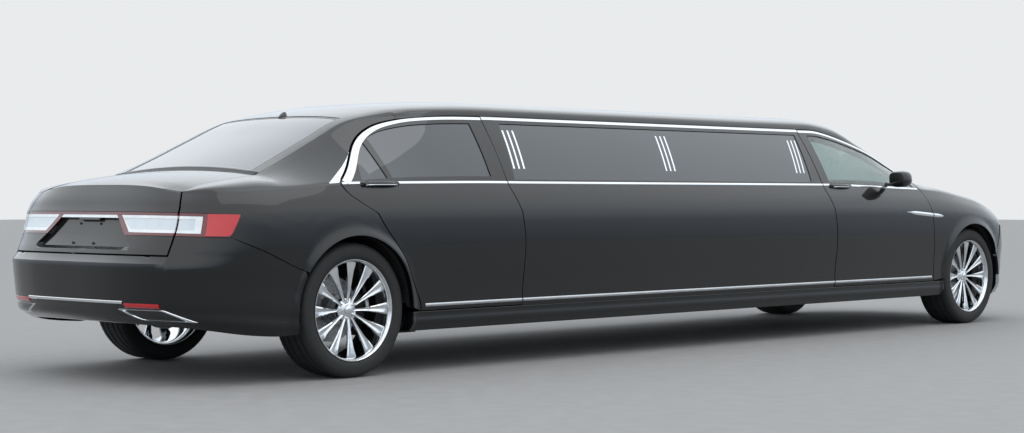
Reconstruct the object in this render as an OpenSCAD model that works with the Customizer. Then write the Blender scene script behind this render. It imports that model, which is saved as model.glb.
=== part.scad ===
// A stretch limousine: a saloon body cut at the middle pillar and lengthened there.
// +X points to the front, +Y to the left side, +Z up; the origin is on the ground under the
// middle of the body. Sizes are millimetres.

/* [Overall] */
// Length let in behind the front doors
stretch = 3048; // [1800:1:3700]
// Width of the body without its mirrors
body_w = 1912; // [1600:1:2300]
// Height of the roof above the ground
roof_h = 1490; // [1300:1:1790]
// Height of the window sill line
belt_h = 1012; // [960:1:1060]
// Body length behind the rear axle
rear_overhang = 1122; // [1100:1:1140]
// Body length ahead of the front axle
front_overhang = 1000; // [980:1:1020]

/* [Wheels] */
// Radius of the tyre
tyre_r = 350; // [300:1:360]
// Width of the tyre
tyre_w = 245; // [200:1:260]
// Radius of the rim flange
rim_r = 264; // [220:1:290]
// Distance of each wheel's middle plane inside the body side
wheel_inset = 152; // [140:1:165]
// Radius of the wheel arch opening
arch_r = 388; // [380:1:400]
// Radius of the brake disc
disc_r = 172; // [150:1:190]
// Spokes in each wheel
spokes = 12; // [8:1:14]

/* [Doors] */
// Gap between a moving panel and its neighbour
shut_gap = 6; // [5:0.5:8]
// Thickness of a door below its window
door_t = 96; // [80:1:115]
// Thickness of a window frame, measured across the car
frame_t = 44; // [36:1:52]
// Thickness of the fixed body walls
wall_t = 30; // [22:1:36]
// Thickness of the glass
glass_t = 6; // [4:0.5:8]
// Clearance round a fixed pane
pane_clear = 0.4; // [0.2:0.1:0.8]

/* [Hidden] */
$fn = 48;
base_wb = 2994;                       // wheelbase before the stretch
cut = 1240;                           // where the stretch is let in, from the rear axle
wheelbase = base_wb + stretch;
length = rear_overhang + wheelbase + front_overhang;
x_rear = rear_overhang - length / 2;  // rear axle
x_front = x_rear + wheelbase;         // front axle
hw = body_w / 2;
wheel_y = hw - wheel_inset;

// ---------- curves ----------

function clamp(t, a = 0, b = 1) = max(a, min(b, t));
function mix(a, b, t) = a + (b - a) * t;
function smooth(t) = let(s = clamp(t)) s * s * (3 - 2 * s);

// index of the interval of p that holds x
function span(p, x, i = 0) = (i >= len(p) - 2 || x < p[i + 1][0]) ? i : span(p, x, i + 1);
function slope(p, i) = let(a = max(i - 1, 0), b = min(i + 1, len(p) - 1))
    (p[b][1] - p[a][1]) / (p[b][0] - p[a][0]);
function hermite(a, b, ta, tb, t) =
    a * (2 * t * t * t - 3 * t * t + 1) + ta * (t * t * t - 2 * t * t + t)
    + b * (3 * t * t - 2 * t * t * t) + tb * (t * t * t - t * t);
// smooth curve through the points [x, value] of p
function line(p, x) = let(i = span(p, x), h = p[i + 1][0] - p[i][0], t = clamp((x - p[i][0]) / h))
    hermite(p[i][1], p[i + 1][1], h * slope(p, i), h * slope(p, i + 1), t);

// ---------- the body's feature lines ----------
// u is the distance ahead of the rear axle on the car before it was stretched.
// v climbs the section: 0 lower edge, 1 side moulding, 2 crease, 3 window sill or shoulder,
// 4 roof rail, hood edge or lid edge, 5 middle of the car.

side_in = [[-1122, 34], [-700, 20], [-300, 6], [0, 1], [600, 3], [cut, 2], [2300, 2],
    [2994, 1], [3300, 8], [3994, 40]];
low_z = [[-1122, 300], [-960, 285], [-690, 252], [-450, 236], [0, 226], [450, 222],
    [2900, 222], [3400, 214], [3994, 205]];
trim_z = [[-1122, 405], [-700, 398], [-400, 362], [0, 346], [cut, 345], [2400, 345],
    [2994, 350], [3500, 385], [3994, 400]];
crease_z = [[-1122, 866], [-680, 852], [0, 852], [cut, 853], [2100, 846], [2600, 832],
    [2994, 806], [3400, 742], [3700, 690], [3994, 672]];
sill_drop = [[-1122, 14], [-1036, 50], [-950, 52], [-700, 46], [-400, 27], [-50, 6], [400, 0],
    [cut, -4], [2100, 15], [2450, 27], [2700, 50], [2994, 93], [3180, 124], [3540, 206],
    [3740, 226], [3994, 197]];
rail_in = [[-1122, 336], [-420, 316], [-200, 336], [0, 352], [230, 372], [500, 350], [800, 320],
    [cut, 301], [1400, 301], [1650, 296], [1955, 270], [2160, 242], [2270, 225], [2500, 198],
    [2705, 202], [3200, 238], [3600, 288], [3994, 350]];
// heights above the window sill line, as a share of the greenhouse above it or in millimetres below it
rail_rise = [[-420, 0.075], [-200, 0.27], [0, 0.462], [230, 0.67], [500, 0.762], [800, 0.797],
    [cut, 0.812], [1400, 0.803], [1650, 0.708], [1955, 0.525], [2160, 0.33], [2270, 0.22],
    [2500, 0.03]];
ridge_rise = [[-430, 0.145], [-300, 0.265], [0, 0.54], [230, 0.752], [330, 0.815], [600, 0.92],
    [900, 0.975], [cut, 1], [1500, 0.996], [1700, 0.967], [1800, 0.932], [2000, 0.76],
    [2270, 0.51], [2700, 0.105], [2760, 0.075]];
rail_tail = [[-1122, -55], [-1036, -50], [-900, -24], [-700, 4], [-420, 36]];
ridge_tail = [[-1122, -14], [-1000, 4], [-900, 18], [-700, 43], [-500, 62], [-430, 69]];
rail_nose = [[2500, 14], [2705, -9], [2994, -47], [3200, -77], [3600, -172], [3740, -217], [3994, -260]];
ridge_nose = [[2760, 36], [2900, 32], [3000, 26], [3300, -8], [3600, -66], [3800, -126],
    [3900, -162], [3994, -197]];
crown_a = [[-430, 2], [300, 2.4], [600, 2.6], [1600, 2.6], [1900, 2.2], [2700, 2]];
crown_b = [[-430, 1], [300, 1.8], [600, 2.4], [1600, 2.4], [1900, 1.4], [2700, 1]];
// how far the side lies inside its widest point, by v
side_tuck = [[0, 48], [0.35, 20], [0.7, 20], [1, 12], [1.2, 12], [1.55, 0], [1.85, 3], [2, 8],
    [2.3, 20], [2.6, 38], [3, 72]];
// how far the tail and the nose lie inside the ends of the car, by v
tail_tuck = [[0, 150], [0.35, 62], [0.7, 40], [1, 22], [1.25, 4], [1.38, 0], [1.45, 4], [1.5, 38],
    [1.55, 46], [1.73, 92], [2, 136], [2.5, 166], [3, 206]];
nose_tuck = [[0, 130], [0.35, 60], [1, 20], [1.4, 0], [1.7, 10], [2, 24], [2.5, 40], [3, 58]];
tail_u = -400;     // the corners' rounding starts here
nose_u = 3100;
tail_n = 3.2;      // roundness of the corners in plan
nose_n = 2.5;
glass_bulge = 16;  // bow of the side windows

function upper(f) = belt_h + f * (roof_h - belt_h);
function rail_z(u) = u < -420 ? belt_h + line(rail_tail, u)
    : u > 2500 ? belt_h + line(rail_nose, u) : upper(line(rail_rise, u));
function ridge_z(u) = u < -430 ? belt_h + line(ridge_tail, u)
    : u > 2760 ? belt_h + line(ridge_nose, u) : upper(line(ridge_rise, u));
function sill_z(u) = belt_h - line(sill_drop, u);
function tail_t(u) = clamp((tail_u - u) / (tail_u + rear_overhang));
function nose_t(u) = clamp((u - nose_u) / (base_wb + front_overhang - nose_u));
function corner(u) = u < tail_u ? pow(1 - pow(tail_t(u), tail_n), 1 / tail_n)
    : pow(1 - pow(nose_t(u), nose_n), 1 / nose_n);
// place along the car of a point before the stretch
function place(u, v) = u + line(tail_tuck, min(v, 3)) * pow(tail_t(u), 2)
    - line(nose_tuck, min(v, 3)) * pow(nose_t(u), 3);
// 1 where the side runs on into a hood or deck, 0 beside the windows
function deck(u) = u < cut ? smooth((-250 - u) / 350) : smooth((u - 2400) / 300);
function side_y(u, v) = (hw - line(side_in, u) - line(side_tuck, v)) * corner(u);
function rail_y(u) = hw - line(rail_in, u);
// height of a side point
function side_z(u, v) = v < 1 ? mix(line(low_z, u), line(trim_z, u), v)
    : v < 2 ? mix(line(trim_z, u), line(crease_z, u), v - 1)
    : mix(line(crease_z, u), sill_z(u), v - 2);
// and the v of a side point at height z
function v_of(u, z) = let(a = line(low_z, u), b = line(trim_z, u), c = line(crease_z, u), d = sill_z(u))
    z < b ? (z - a) / (b - a) : z < c ? 1 + (z - b) / (c - b) : 2 + (z - c) / (d - c);
arch_flare = 12;   // how far the arch lips stand out
arch_lip = 48;     // and how wide they are
function flare(u, z) = let(d = min(norm([u, z - tyre_r]), norm([u - base_wb, z - tyre_r])))
    arch_flare * (1 - smooth((d - arch_r) / arch_lip));
// height over the middle part of the car, q from 1 at the rail to 0 in the middle
function crown_z(u, q) = rail_z(u) + (ridge_z(u) - rail_z(u))
    * pow(max(1 - pow(abs(q), line(crown_a, u)), 0), 1 / line(crown_b, u));
// the strip from the shoulder to the rail
function strip(u, f) = let(y3 = side_y(u, 3), z3 = sill_z(u), y4 = rail_y(u), z4 = rail_z(u), g = deck(u),
        dy = y4 - y3, dz = z4 - z3, l = norm([dy, dz]),
        s0 = l * [side_y(u, 3) - side_y(u, 2.8), sill_z(u) - side_z(u, 2.8)]
            / max(1, norm([side_y(u, 3) - side_y(u, 2.8), sill_z(u) - side_z(u, 2.8)])),
        s1 = l * [-y4, 2 * (ridge_z(u) - z4)] / norm([y4, 2 * (ridge_z(u) - z4)]),
        a = mix([dy, dz], s0, g * 0.8), b = mix([dy, dz], s1, g))
    [hermite(y3, y4, a[0], b[0], f) + (1 - g) * glass_bulge * 4 * f * (1 - f) * dz / max(l, 1),
     hermite(z3, z4, a[1], b[1], f)];
// a point of the outer skin of the right half, y positive
function half_skin(u, v) = let(x = place(u, v))
    v <= 3 ? let(z = side_z(u, v)) [x, side_y(u, v) + flare(u, z), z]
    : v <= 4 ? let(s = strip(u, v - 3)) [x, s[0], s[1]]
    : [x, rail_y(u) * (5 - v), crown_z(u, 5 - v)];
// the stretch is let in at the cut: U runs along the finished car, ahead of the rear axle
function base_u(U) = U < cut ? U : U < cut + stretch ? cut : U - stretch;
function skin(U, v) = let(u = base_u(U), p = v <= 5 ? half_skin(u, v) : half_skin(u, 10 - v))
    [x_rear + U - u + p[0], v <= 5 ? p[1] : -p[1], p[2]];

// ---------- panels: closed shells between two grids of skin points ----------

function unit(a) = a / max(norm(a), 1e-9);
// the way inward from the skin: level at the sides, downward on top
lean_side = [[0, 0], [2.8, 0], [3, 6], [3.5, 28], [4, 46], [4.06, 56], [4.2, 74], [4.5, 86], [5, 90]];
lean_deck = [[0, 0], [2.5, 0], [2.8, 20], [3, 45], [3.3, 72], [4, 86], [5, 90]];
function lean(u) = u < -420 ? min(1, 1.8 * deck(u)) : deck(u);
function inward(U, v) = let(w = v <= 5 ? v : 10 - v, a = skin(U - 3, w), b = skin(U + 3, w),
        l = unit([b[1] - a[1], a[0] - b[0], 0]),
        e = mix(line(lean_side, w), line(lean_deck, w), lean(base_u(U))))
    [l[0] * cos(e), (v <= 5 ? 1 : -1) * l[1] * cos(e), -sin(e)];
function sunk(p, t) = skin(p[0], p[1]) + t * inward(p[0], p[1]);
// a panel is a grid of [U, v]; its inner face may be smaller by b along the car and c in v
function shrink(g, b, c) = let(n = len(g) - 1, m = len(g[0]) - 1)
    [for (i = [0:n]) [for (j = [0:m]) g[i][j] + [i == 0 ? b : i == n ? -b : 0,
        j == 0 ? c : j == m ? -c : 0]]];
function face(g, t) = [for (c = g) [for (p = c) sunk(p, t)]];
// depth of the doors and the walls beside them at v
function depth(v) = v < 2.95 ? door_t : frame_t;
function deep_face(g, t = 0) = [for (c = g) [for (p = c) sunk(p, depth(p[1]) + t)]];
function ruled(low, high, f) = [for (i = [0:len(low) - 1]) [for (k = f) mix(low[i], high[i], k)]];
// key points with n steps between each pair
function steps(p, n) = [for (i = [0:len(p) - 2]) each [for (k = [0:n - 1]) mix(p[i], p[i + 1], k / n)],
    p[len(p) - 1]];
// the same grid carried on over the middle of the car to the other side
function across(g) = concat(g, [for (i = [len(g) - 2:-1:0]) [for (p = g[i]) [p[0], 10 - p[1]]]]);
function kept(i, j, n, m, holes) = i >= 0 && j >= 0 && i < n - 1 && j < m - 1
    && len([for (h = holes) if (i >= h[0] && i < h[1] && j >= h[2] && j < h[3]) 1]) == 0;
function quad(a, b, c, d) = [[a, c, b], [a, d, c]];
module shell(outer, inner, holes = []) {
    n = len(outer);
    m = len(outer[0]);
    k = n * m;
    // which way round the grid runs, so that the faces look outward
    out = cross(outer[1][0] - outer[0][0], outer[0][1] - outer[0][0]) * (inner[0][0] - outer[0][0]) < 0;
    faces = [for (i = [0:n - 2]) for (j = [0:m - 2]) if (kept(i, j, n, m, holes))
        let(a = i * m + j, b = a + m, c = b + 1, d = a + 1) each concat(
            quad(a, b, c, d), quad(a + k, d + k, c + k, b + k),
            kept(i - 1, j, n, m, holes) ? [] : quad(a, d, d + k, a + k),
            kept(i + 1, j, n, m, holes) ? [] : quad(b, b + k, c + k, c),
            kept(i, j - 1, n, m, holes) ? [] : quad(a, a + k, b + k, b),
            kept(i, j + 1, n, m, holes) ? [] : quad(d, c, c + k, d + k))];
    polyhedron(concat([for (c = outer) each c], [for (c = inner) each c]),
        out ? faces : [for (f = faces) [f[0], f[2], f[1]]]);
}
module panel(g, t, holes = [], b = 0, c = 0) {
    shell(face(g, 0), face(shrink(g, b, c), t), holes);
}
module both_sides() {
    children();
    mirror([0, 1, 0]) children();
}
module right() {
    mirror([0, 1, 0]) children();
}

// ---------- shut lines ----------

seam = 0.4;             // between fixed neighbours
gv = shut_gap / 123;    // the shut gap in v near the lower edge
gr = shut_gap / 440;    // and near the roof rail
door_low = 0.9;         // v of the doors' lower edge
door_high = 3.97;       // and of their upper edge
// middle pillar shut line, ahead of the rear axle before the stretch
pillar_line = [[0, 1228], [1, 1232], [1.7, 1250], [2, 1232], [2.5, 1200], [3, 1176], [4, 1173]];
// front edge of the front door
front_line = [[0, 2469], [1, 2466], [1.8, 2452], [2, 2439], [2.6, 2404], [3, 2370], [4, 2362]];
// rear edge of the rear door, round the wheel arch
rear_line = [[0.9, 459], [1.063, 453], [1.308, 389], [1.578, 315], [1.927, 171], [2.6, -15], [3, -58]];
// top of the rear door's frame at its rear end
top_line = [[-58, 3.02], [40, 3.27], [190, 3.66], [352, 3.85], [538, 3.925], [800, 3.962], [1100, 3.97],
    [3000, 3.97]];
rear_v = [door_low, 1.3, 1.7, 2, 2.4, 2.8, 2.95, 3];   // rows of the rear door below its window
function rear_edge(v) = lookup(v, [for (w = rear_v) [w, line(rear_line, w)]]);
function arc(cx, r, a0, a1, n) = [for (k = [0:n]) let(a = mix(a0, a1, k / n), u = cx + r * cos(a))
    [u, v_of(u, tyre_r + r * sin(a))]];
function fore(p) = [for (q = p) [q[0] + stretch, q[1]]];
function fore2(g) = [for (c = g) fore(c)];
function low_at(u, z) = [u, v_of(u, z)];
// along-car stations at which a corner curve is at share q of its half width
function tail_col(q) = tail_u - (tail_u + rear_overhang) * pow(1 - pow(q, tail_n), 1 / tail_n);
function nose_col(q) = nose_u + (base_wb + front_overhang - nose_u) * pow(1 - pow(q, nose_n), 1 / nose_n);
// where the shoulder meets the edge of the lid or of the hood
function meet(a, b, off, k = 26) = let(m = (a + b) / 2)
    k == 0 ? m : side_y(m, 3) > rail_y(m) + off ? meet(m, b, off, k - 1) : meet(a, m, off, k - 1);
tail_end = meet(tail_u, -rear_overhang, 4);
nose_end = meet(nose_u, base_wb + front_overhang, 4);
lid_end = meet(tail_u, -rear_overhang, -shut_gap);
hood_end = meet(nose_u, base_wb + front_overhang, -shut_gap);

// ---------- rear quarters ----------

lamp_u = -800;      // front corner of the tail lamp
lamp_v0 = 1.74;     // lower and upper edge of the tail lamp in v
lamp_v1 = 1.99;
bump_v = 1.52;      // top of the bumper under the trunk lid
quarter_rows = [0, 0.1, (lamp_v1 + 0.002 - lamp_v0) / (2.94 - lamp_v0), 0.5, 0.75, 0.93, 1];
lamp_row = 2;       // upper edge of the tail lamp's opening
quarter_low = concat(arc(0, arch_r, 1, 148, 12),
    [low_at(-420, 590), low_at(-600, 668)],
    steps([[lamp_u, lamp_v0], [-920, lamp_v0], [tail_end, lamp_v0]], 2));
quarter_mid = concat([for (v = [0.92, 1.3, 1.5, 1.7, 1.85, 2, 2.4, 2.8])
        [rear_edge(v) - shut_gap * 1.35, v]],
    [for (u = [-62, -150, -250, -330, -400, -480, -600]) [u, 2.94]],
    [for (i = [15:19]) [quarter_low[i][0], 2.94]]);
// rear ends of the rear door's frame, and the belt behind it
quarter_belt = concat([for (u = [560, 450, 352, 270, 190, 115, 40, -10]) [u - 12, line(top_line, u) + 0.02]],
    [for (i = [8:19]) [quarter_mid[i][0], 3]]);
quarter_top = concat([for (u = [560, 450, 352, 270, 190, 115, 40, -10]) [u - 14, 4]],
    [for (i = [8:19]) [quarter_mid[i][0], 4]]);
function joined(a, b) = [for (i = [0:len(a) - 1]) concat(a[i], b[i])];
quarter_grid = joined(ruled(quarter_low, quarter_mid, quarter_rows),
    ruled(quarter_belt, quarter_top, [0, 0.35, 0.7, 1]));
module quarter() {
    inner = [for (i = [0:19]) [for (p = quarter_grid[i]) p + [i == 19 ? wall_t * 0.85 : 0, 0]]];
    shell(face(quarter_grid, 0), face(inner, wall_t),
        [[15, 19, 0, lamp_row], [0, 8, 6, 7]]);
}
module quarter_panels() {
    color("#101214") both_sides() quarter();
}

// ---------- centre sides, between the doors ----------

side_v = [door_low, 1.3, 1.7, 2, 2.4, 2.8, 2.95, 3.05, 3.3, 3.6, 3.88, door_high];
pane_side = [1306, 4172];            // centre window along its top
pane_foot = [1240, 4108];            // and along its foot
module centre_side() {
    rows = concat([door_low - gv + 0.004], [for (v = side_v) v == door_high ? 3.986 : v]);
    g = [for (i = [0:8]) [for (v = rows) let(a = line(pillar_line, v) + shut_gap / 2,
        b = line(pillar_line, v) + stretch - shut_gap / 2, f = clamp((v - 3) / 0.97),
        p = max(a + 40, mix(pane_foot[0], pane_side[0], f)),
        q = min(b - 40, mix(pane_foot[1], pane_side[1], f) + stretch - 3048))
        [i == 0 ? a : i == 8 ? b : mix(p, q, (i - 1) / 6), v]]];
    shell(face(g, 0), deep_face(g, -0.3), [[1, 7, 8, 11]]);
}
module centre_panels() {
    color("#101214") both_sides() centre_side();
}
module centre_windows() {
    color("#20262a") both_sides() {
        g = [for (i = [0:6]) [for (v = [3.05, 3.3, 3.6, 3.88]) let(f = (v - 3) / 0.97,
            c = pane_clear, p = mix(pane_foot[0], pane_side[0], f) + c,
            q = mix(pane_foot[1], pane_side[1], f) + stretch - 3048 - c)
            [mix(p, q, i / 6), v + (v < 3.1 ? c / 440 : v > 3.8 ? -c / 440 : 0)]]];
        shell(face(g, 5), face(g, 5 + glass_t));
    }
}

// ---------- roof with the windscreen pillars ----------

header_u = 1740;     // upper edge of the windscreen in the middle
header_back = 262;   // upper edge of the rear window in the middle
pane_side_v = 4.13;  // edge of the front and rear glass on the pillars
screen_foot = 2690;  // lower edge of the windscreen
back_foot = -392;    // lower edge of the rear window
roof_v = concat([3.986], [4.03, pane_side_v, 4.3, 4.55, 4.8, 5]);
roof_u = concat([-392, -300, -180, -60, 60, 170, header_back], [400, 556, 562, 900, cut],
    [for (u = [cut, 1500, header_u, 1880, 2020, 2160, 2300, 2366, 2480, 2620, 2690]) u + stretch]);
function roof_side(U) = let(u = base_u(U)) U > 560 ? line(top_line, u) + 0.018 : 4.014;
module roof() {
    half = [for (U = roof_u) [for (v = roof_v) [U, v == 3.986 ? roof_side(U) : v]]];
    g = [for (c = half) concat(c, [for (j = [len(c) - 2:-1:0]) [c[j][0], 10 - c[j][1]]])];
    n = len(roof_u) - 1;
    color("#101214") shell(face(g, 0), face(g, frame_t * 0.8), [[0, 6, 2, 10], [14, n, 2, 10]]);
}
// a pane between columns i0 and i1 of the roof's grid
module screen(i0, i1) {
    c = pane_clear / 200;
    g = [for (i = [i0:i1]) [for (v = [pane_side_v + c, 4.3, 4.55, 4.8, 5, 5.2, 5.45, 5.7, 10 - pane_side_v - c])
        [roof_u[i] + (i == i0 ? pane_clear : i == i1 ? -pane_clear : 0), v]]];
    shell(face(g, 4), face(g, 4 + 2 * glass_t));
}
module windshield() {
    color("#20262a") screen(14, 22);
}
module rear_window() {
    color("#20262a") screen(0, 6);
}

// ---------- front fenders ----------

fender_rows = [0, 0.12, 0.3, 0.55, 0.8, 1];
lamp_front_u = 3480; // rear corner of the headlamp
head_v0 = 2.0;       // edges of the headlamp in v
head_v1 = 2.76;
fender_low = fore(concat(arc(base_wb, arch_r, 179, 24, 12), [low_at(3420, 600)],
    [[lamp_front_u, head_v0], [3600, head_v0], [3700, head_v0], [nose_end, head_v0]]));
fender_mid = fore(concat([for (v = [0.92, 1.3, 1.7, 2, 2.4]) [line(front_line, v) + shut_gap, v]],
    [for (u = [line(front_line, 2.96) + shut_gap, 2480, 2620, 2760, 2880, 3000, 3120, 3260]) [u, 2.96]],
    [for (i = [13:17]) [fender_low[i][0] - stretch, 2.96]]));
fender_belt = [for (i = [5:17]) [fender_mid[i][0], 3]];
fender_top = [for (i = [5:17]) [fender_mid[i][0], 3.97]];
module fender() {
    low = ruled(fender_low, fender_mid, fender_rows);
    high = ruled(concat([for (k = [0:4]) fender_belt[0] - [(5 - k) * 8, 0]], fender_belt),
        concat([for (k = [0:4]) fender_top[0] - [(5 - k) * 8, 0]], fender_top), [0, 0.4, 0.75, 1]);
    g = joined(low, high);
    shell(face(g, 0), face(g, wall_t), [[14, 17, 0, 4], [0, 5, 5, 9]]);
}
module front_fenders() {
    color("#101214") both_sides() fender();
}

// ---------- bumpers, lamps and grille ----------

grille_q = 0.4;      // share of the half width that the grille takes
module rear_bumper() {
    low = concat(arc(0, arch_r, 152, 196, 4), [for (u = [-470, -620, -760]) [u, 0]],
        [for (q = [0.8, 0.7, 0.4, 0.2, 0]) [tail_col(q), 0]]);
    high = concat([low_at(-350, 559), low_at(-385, 572), low_at(-420, 586), low_at(-510, 624),
        low_at(-600, 663), low_at(-700, 698)], [for (u = [lamp_u, -920, tail_end]) [u, lamp_v0 - 0.002]],
        [[tail_end - 1, bump_v]], [for (q = [0.4, 0.2, 0]) [tail_col(q), bump_v]]);
    color("#101214") panel(across(ruled(low, high, [0, 0.2, 0.45, 0.75, 0.9, 1])), wall_t * 0.8);
}
module front_bumper() {
    low = concat(arc(base_wb, arch_r, 20, -22, 4), [for (u = [3480, 3600]) [u, 0]],
        [for (q = [0.8, 0.65, grille_q, 0.2, 0]) [nose_col(q), 0]]);
    high = concat([low_at(3372, 530), low_at(3396, 553), low_at(3420, 580), low_at(3444, 610),
        low_at(3468, 640)], [for (u = [3520, 3640]) [u, head_v0 - 0.003]],
        [for (q = [0.8, 0.65, grille_q, 0.2, 0]) [nose_col(q), head_v0 - 0.003]]);
    g = across(ruled(fore(low), fore(high), [0, 0.12, 0.3, 0.55, 0.8, 1]));
    color("#101214") panel(g, wall_t * 0.8, [[9, 13, 2, 5]]);
}

// lamps and grille fill their openings with a small clearance
module tail_lamps() {
    g = ruled([for (u = [lamp_u - seam, -860, -920, -980, tail_end + 1]) [u, lamp_v0 + 0.002]],
        [for (u = [lamp_u - seam, -860, -920, -980, tail_end + 1]) [u, lamp_v1 - 0.002]], [0, 0.5, 1]);
    color("#8c1016") both_sides() panel(g, wall_t);
}
module headlamps() {
    us = [lamp_front_u + seam, 3560, 3640, 3720, nose_end, nose_col(grille_q + 0.03)];
    g = fore2(ruled([for (u = us) [u, head_v0 + 0.002]], [for (u = us) [u, head_v1 - 0.011]], [0, 0.5, 1]));
    color("#c8d2d8") both_sides() panel(g, wall_t);
}
module grille() {
    qs = [grille_q - 0.002, 0.3, 0.2, 0.1, 0];
    low = [for (q = qs) [nose_col(q), 0.602]];
    high = [for (q = qs) [nose_col(q), head_v1]];
    g = across(fore2(ruled(low, high, [0, 0.2, 0.4, 0.6, 0.8, 1])));
    color("#b8bcc0") shell(face(g, 12), face(g, 30));
}

// ---------- hood and trunk lid ----------

hood_back = 2762;   // rear edge of the hood
lid_front = -440;   // front edge of the trunk lid
// the station whose place is x on the shoulder line
function station(x, k = 12, u = undef) = let(w = is_undef(u) ? x : u)
    k == 0 ? w : station(x, k - 1, w + x - place(w, 3));
// a point on the deck or hood: column u ends at the lip, s runs from the hinge side to the lip
function deck_point(u, x0, s) = let(x1 = place(u, 3), x = mix(x0, x1, s),
        w = station(x), y1 = side_y(u, 3), q = min(1, y1 / (rail_y(u) - shut_gap)),
        z = crown_z(w, q * 0.999) - (crown_z(u, q * 0.999) - sill_z(u)) * s * s * s)
    [x, q * (rail_y(w) - shut_gap), z];
lid_cols = [for (k = [0:6]) k == 0 ? lid_end : tail_col(corner(lid_end) * (1 - k / 6))];
hood_cols = [for (k = [0:6]) k == 0 ? hood_end : nose_col(corner(hood_end) * (1 - k / 6))];
function flip_y(c) = [for (p = c) [p[0], -p[1], p[2]]];
function both(g) = concat(g, [for (i = [len(g) - 2:-1:0]) flip_y(g[i])]);
function moved(p, dx) = [p[0] + x_rear + dx, p[1], p[2]];
lid_s = [0, 0.15, 0.35, 0.55, 0.75, 0.9, 1];
lid_v = [[2.6, 0], [2.3, 0], [lamp_v1 + 0.002, 0], [lamp_v1, 1], [1.865, 1], [lamp_v0, 1],
    [lamp_v0 - 0.002, 0], [1.62, 0], [bump_v + 0.018, 0]];
lamp_t = 22;        // depth of the lamps let into the lid
lid_skin = both([for (u = lid_cols) concat([for (s = lid_s) moved(deck_point(u, lid_front, s), 0)],
    [for (v = lid_v) skin(u, v[0]) + [v[1] * lamp_t, 0, 0]])]);
lid_plain = both([for (u = lid_cols) concat([for (s = lid_s) moved(deck_point(u, lid_front, s), 0)],
    [for (v = lid_v) skin(u, v[0])])]);
// the inner face: the depth is taken downward on the deck and forward on the rear face
lid_turn = len(lid_s) - 1;
function lid_inner(g, t) = [for (i = [0:len(g) - 1]) let(c = g[i], k = i == 0 ? 1 : i == len(g) - 1 ? -1 : 0)
    [for (j = [0:len(c) - 1]) c[j] + [(j < lid_turn ? 0 : t) - (j == 0 ? 4 : 0), -k * 4,
        j > lid_turn ? (j == len(c) - 1 ? 6 : 0) : -t]]];
module trunk_lid() {
    color("#101214") shell(lid_skin, lid_inner(lid_plain, wall_t));
}
module lid_lamp_bar() {
    g = both([for (u = lid_cols) [for (v = [lamp_v1 - 0.002, 1.865, lamp_v0 + 0.002]) skin(u, v)]]);
    color("#8c1016") shell(g, [for (c = g) [for (p = c) p + [lamp_t - seam, 0, 0]]]);
}
hood_s = [0, 0.12, 0.3, 0.5, 0.7, 0.85, 0.95, 1];
hood_v = [head_v1 + gv * 0.8];
hood_skin = both([for (u = hood_cols) concat([for (s = hood_s) moved(deck_point(u, hood_back, s), stretch)],
    [for (v = hood_v) skin(u + stretch, v)])]);
function hood_under(t) = let(g = hood_skin, n = len(g) - 1, m = len(g[0]) - 1)
    [for (i = [0:n]) let(k = i == 0 ? 1 : i == n ? -1 : 0)
        [for (j = [0:m]) g[i][j] + [(j == 0 ? 5 : 0) - (j < m - 1 ? 0 : wall_t + t), -k * 5,
            j == m ? 0 : -wall_t - t]]];
module hood() {
    color("#101214") shell(hood_skin, hood_under(0));
}

// ---------- cowls and the frames that the hood and lid rest on ----------

cowl_t = 60;
rest_gap = 0.4;      // between a closed panel and the frame it rests on
post_t = 14;         // thickness of such a frame
frame_lip = 26;      // how far it reaches past a door's edge
// strip of the deck between x0 and x1, seam to seam, over the columns of a lid
function cowl_top(cols, x0, x1, dx) = both([for (u = cols) [for (x = [x0, (x0 + x1) / 2, x1])
    let(q = min(1, side_y(u, 3) / (rail_y(u) - shut_gap)))
    moved([x, q * (rail_y(x) - (u > cut ? 8 : 24)), crown_z(x, q * 0.99)], dx)]]);
module cowl_strip(g, t) {
    shell(g, [for (c = g) [for (p = c) p - [0, 0, t]]]);
}
module cowls() {
    color("#17181a") {
        cowl_strip(cowl_top(hood_cols, screen_foot + 0.3, hood_back - shut_gap, stretch), cowl_t);
        cowl_strip(cowl_top(lid_cols, lid_front + shut_gap, back_foot - 1.1, 0), cowl_t);
    }
}
// the hinge side of each frame runs on to the cowl
module lid_frames() {
    h = hood_under(rest_gap);
    g = [for (c = h) concat([c[0] - [shut_gap + 4.6, 0, 0]], c)];
    l = [for (t = [0, post_t]) [for (c = lid_inner(lid_plain, wall_t + rest_gap * 1.5 + t))
        concat([c[0] + [shut_gap + 3.6, 0, 0]], c)]];
    color("#1b1d20") {
        shell(g, [for (c = g) [for (p = c) p - [0, 0, post_t]]], [[1, 11, 2, 9], [0, 12, 6, 9]]);
        shell(l[0], l[1], [[1, 11, 2, 15]]);
    }
}

// ---------- doors ----------

function door_cells(back, front, bottom) = [for (i = [0:8]) [for (v = bottom)
    [mix(line(back, v), line(front, v), i / 8), v]]];
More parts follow.
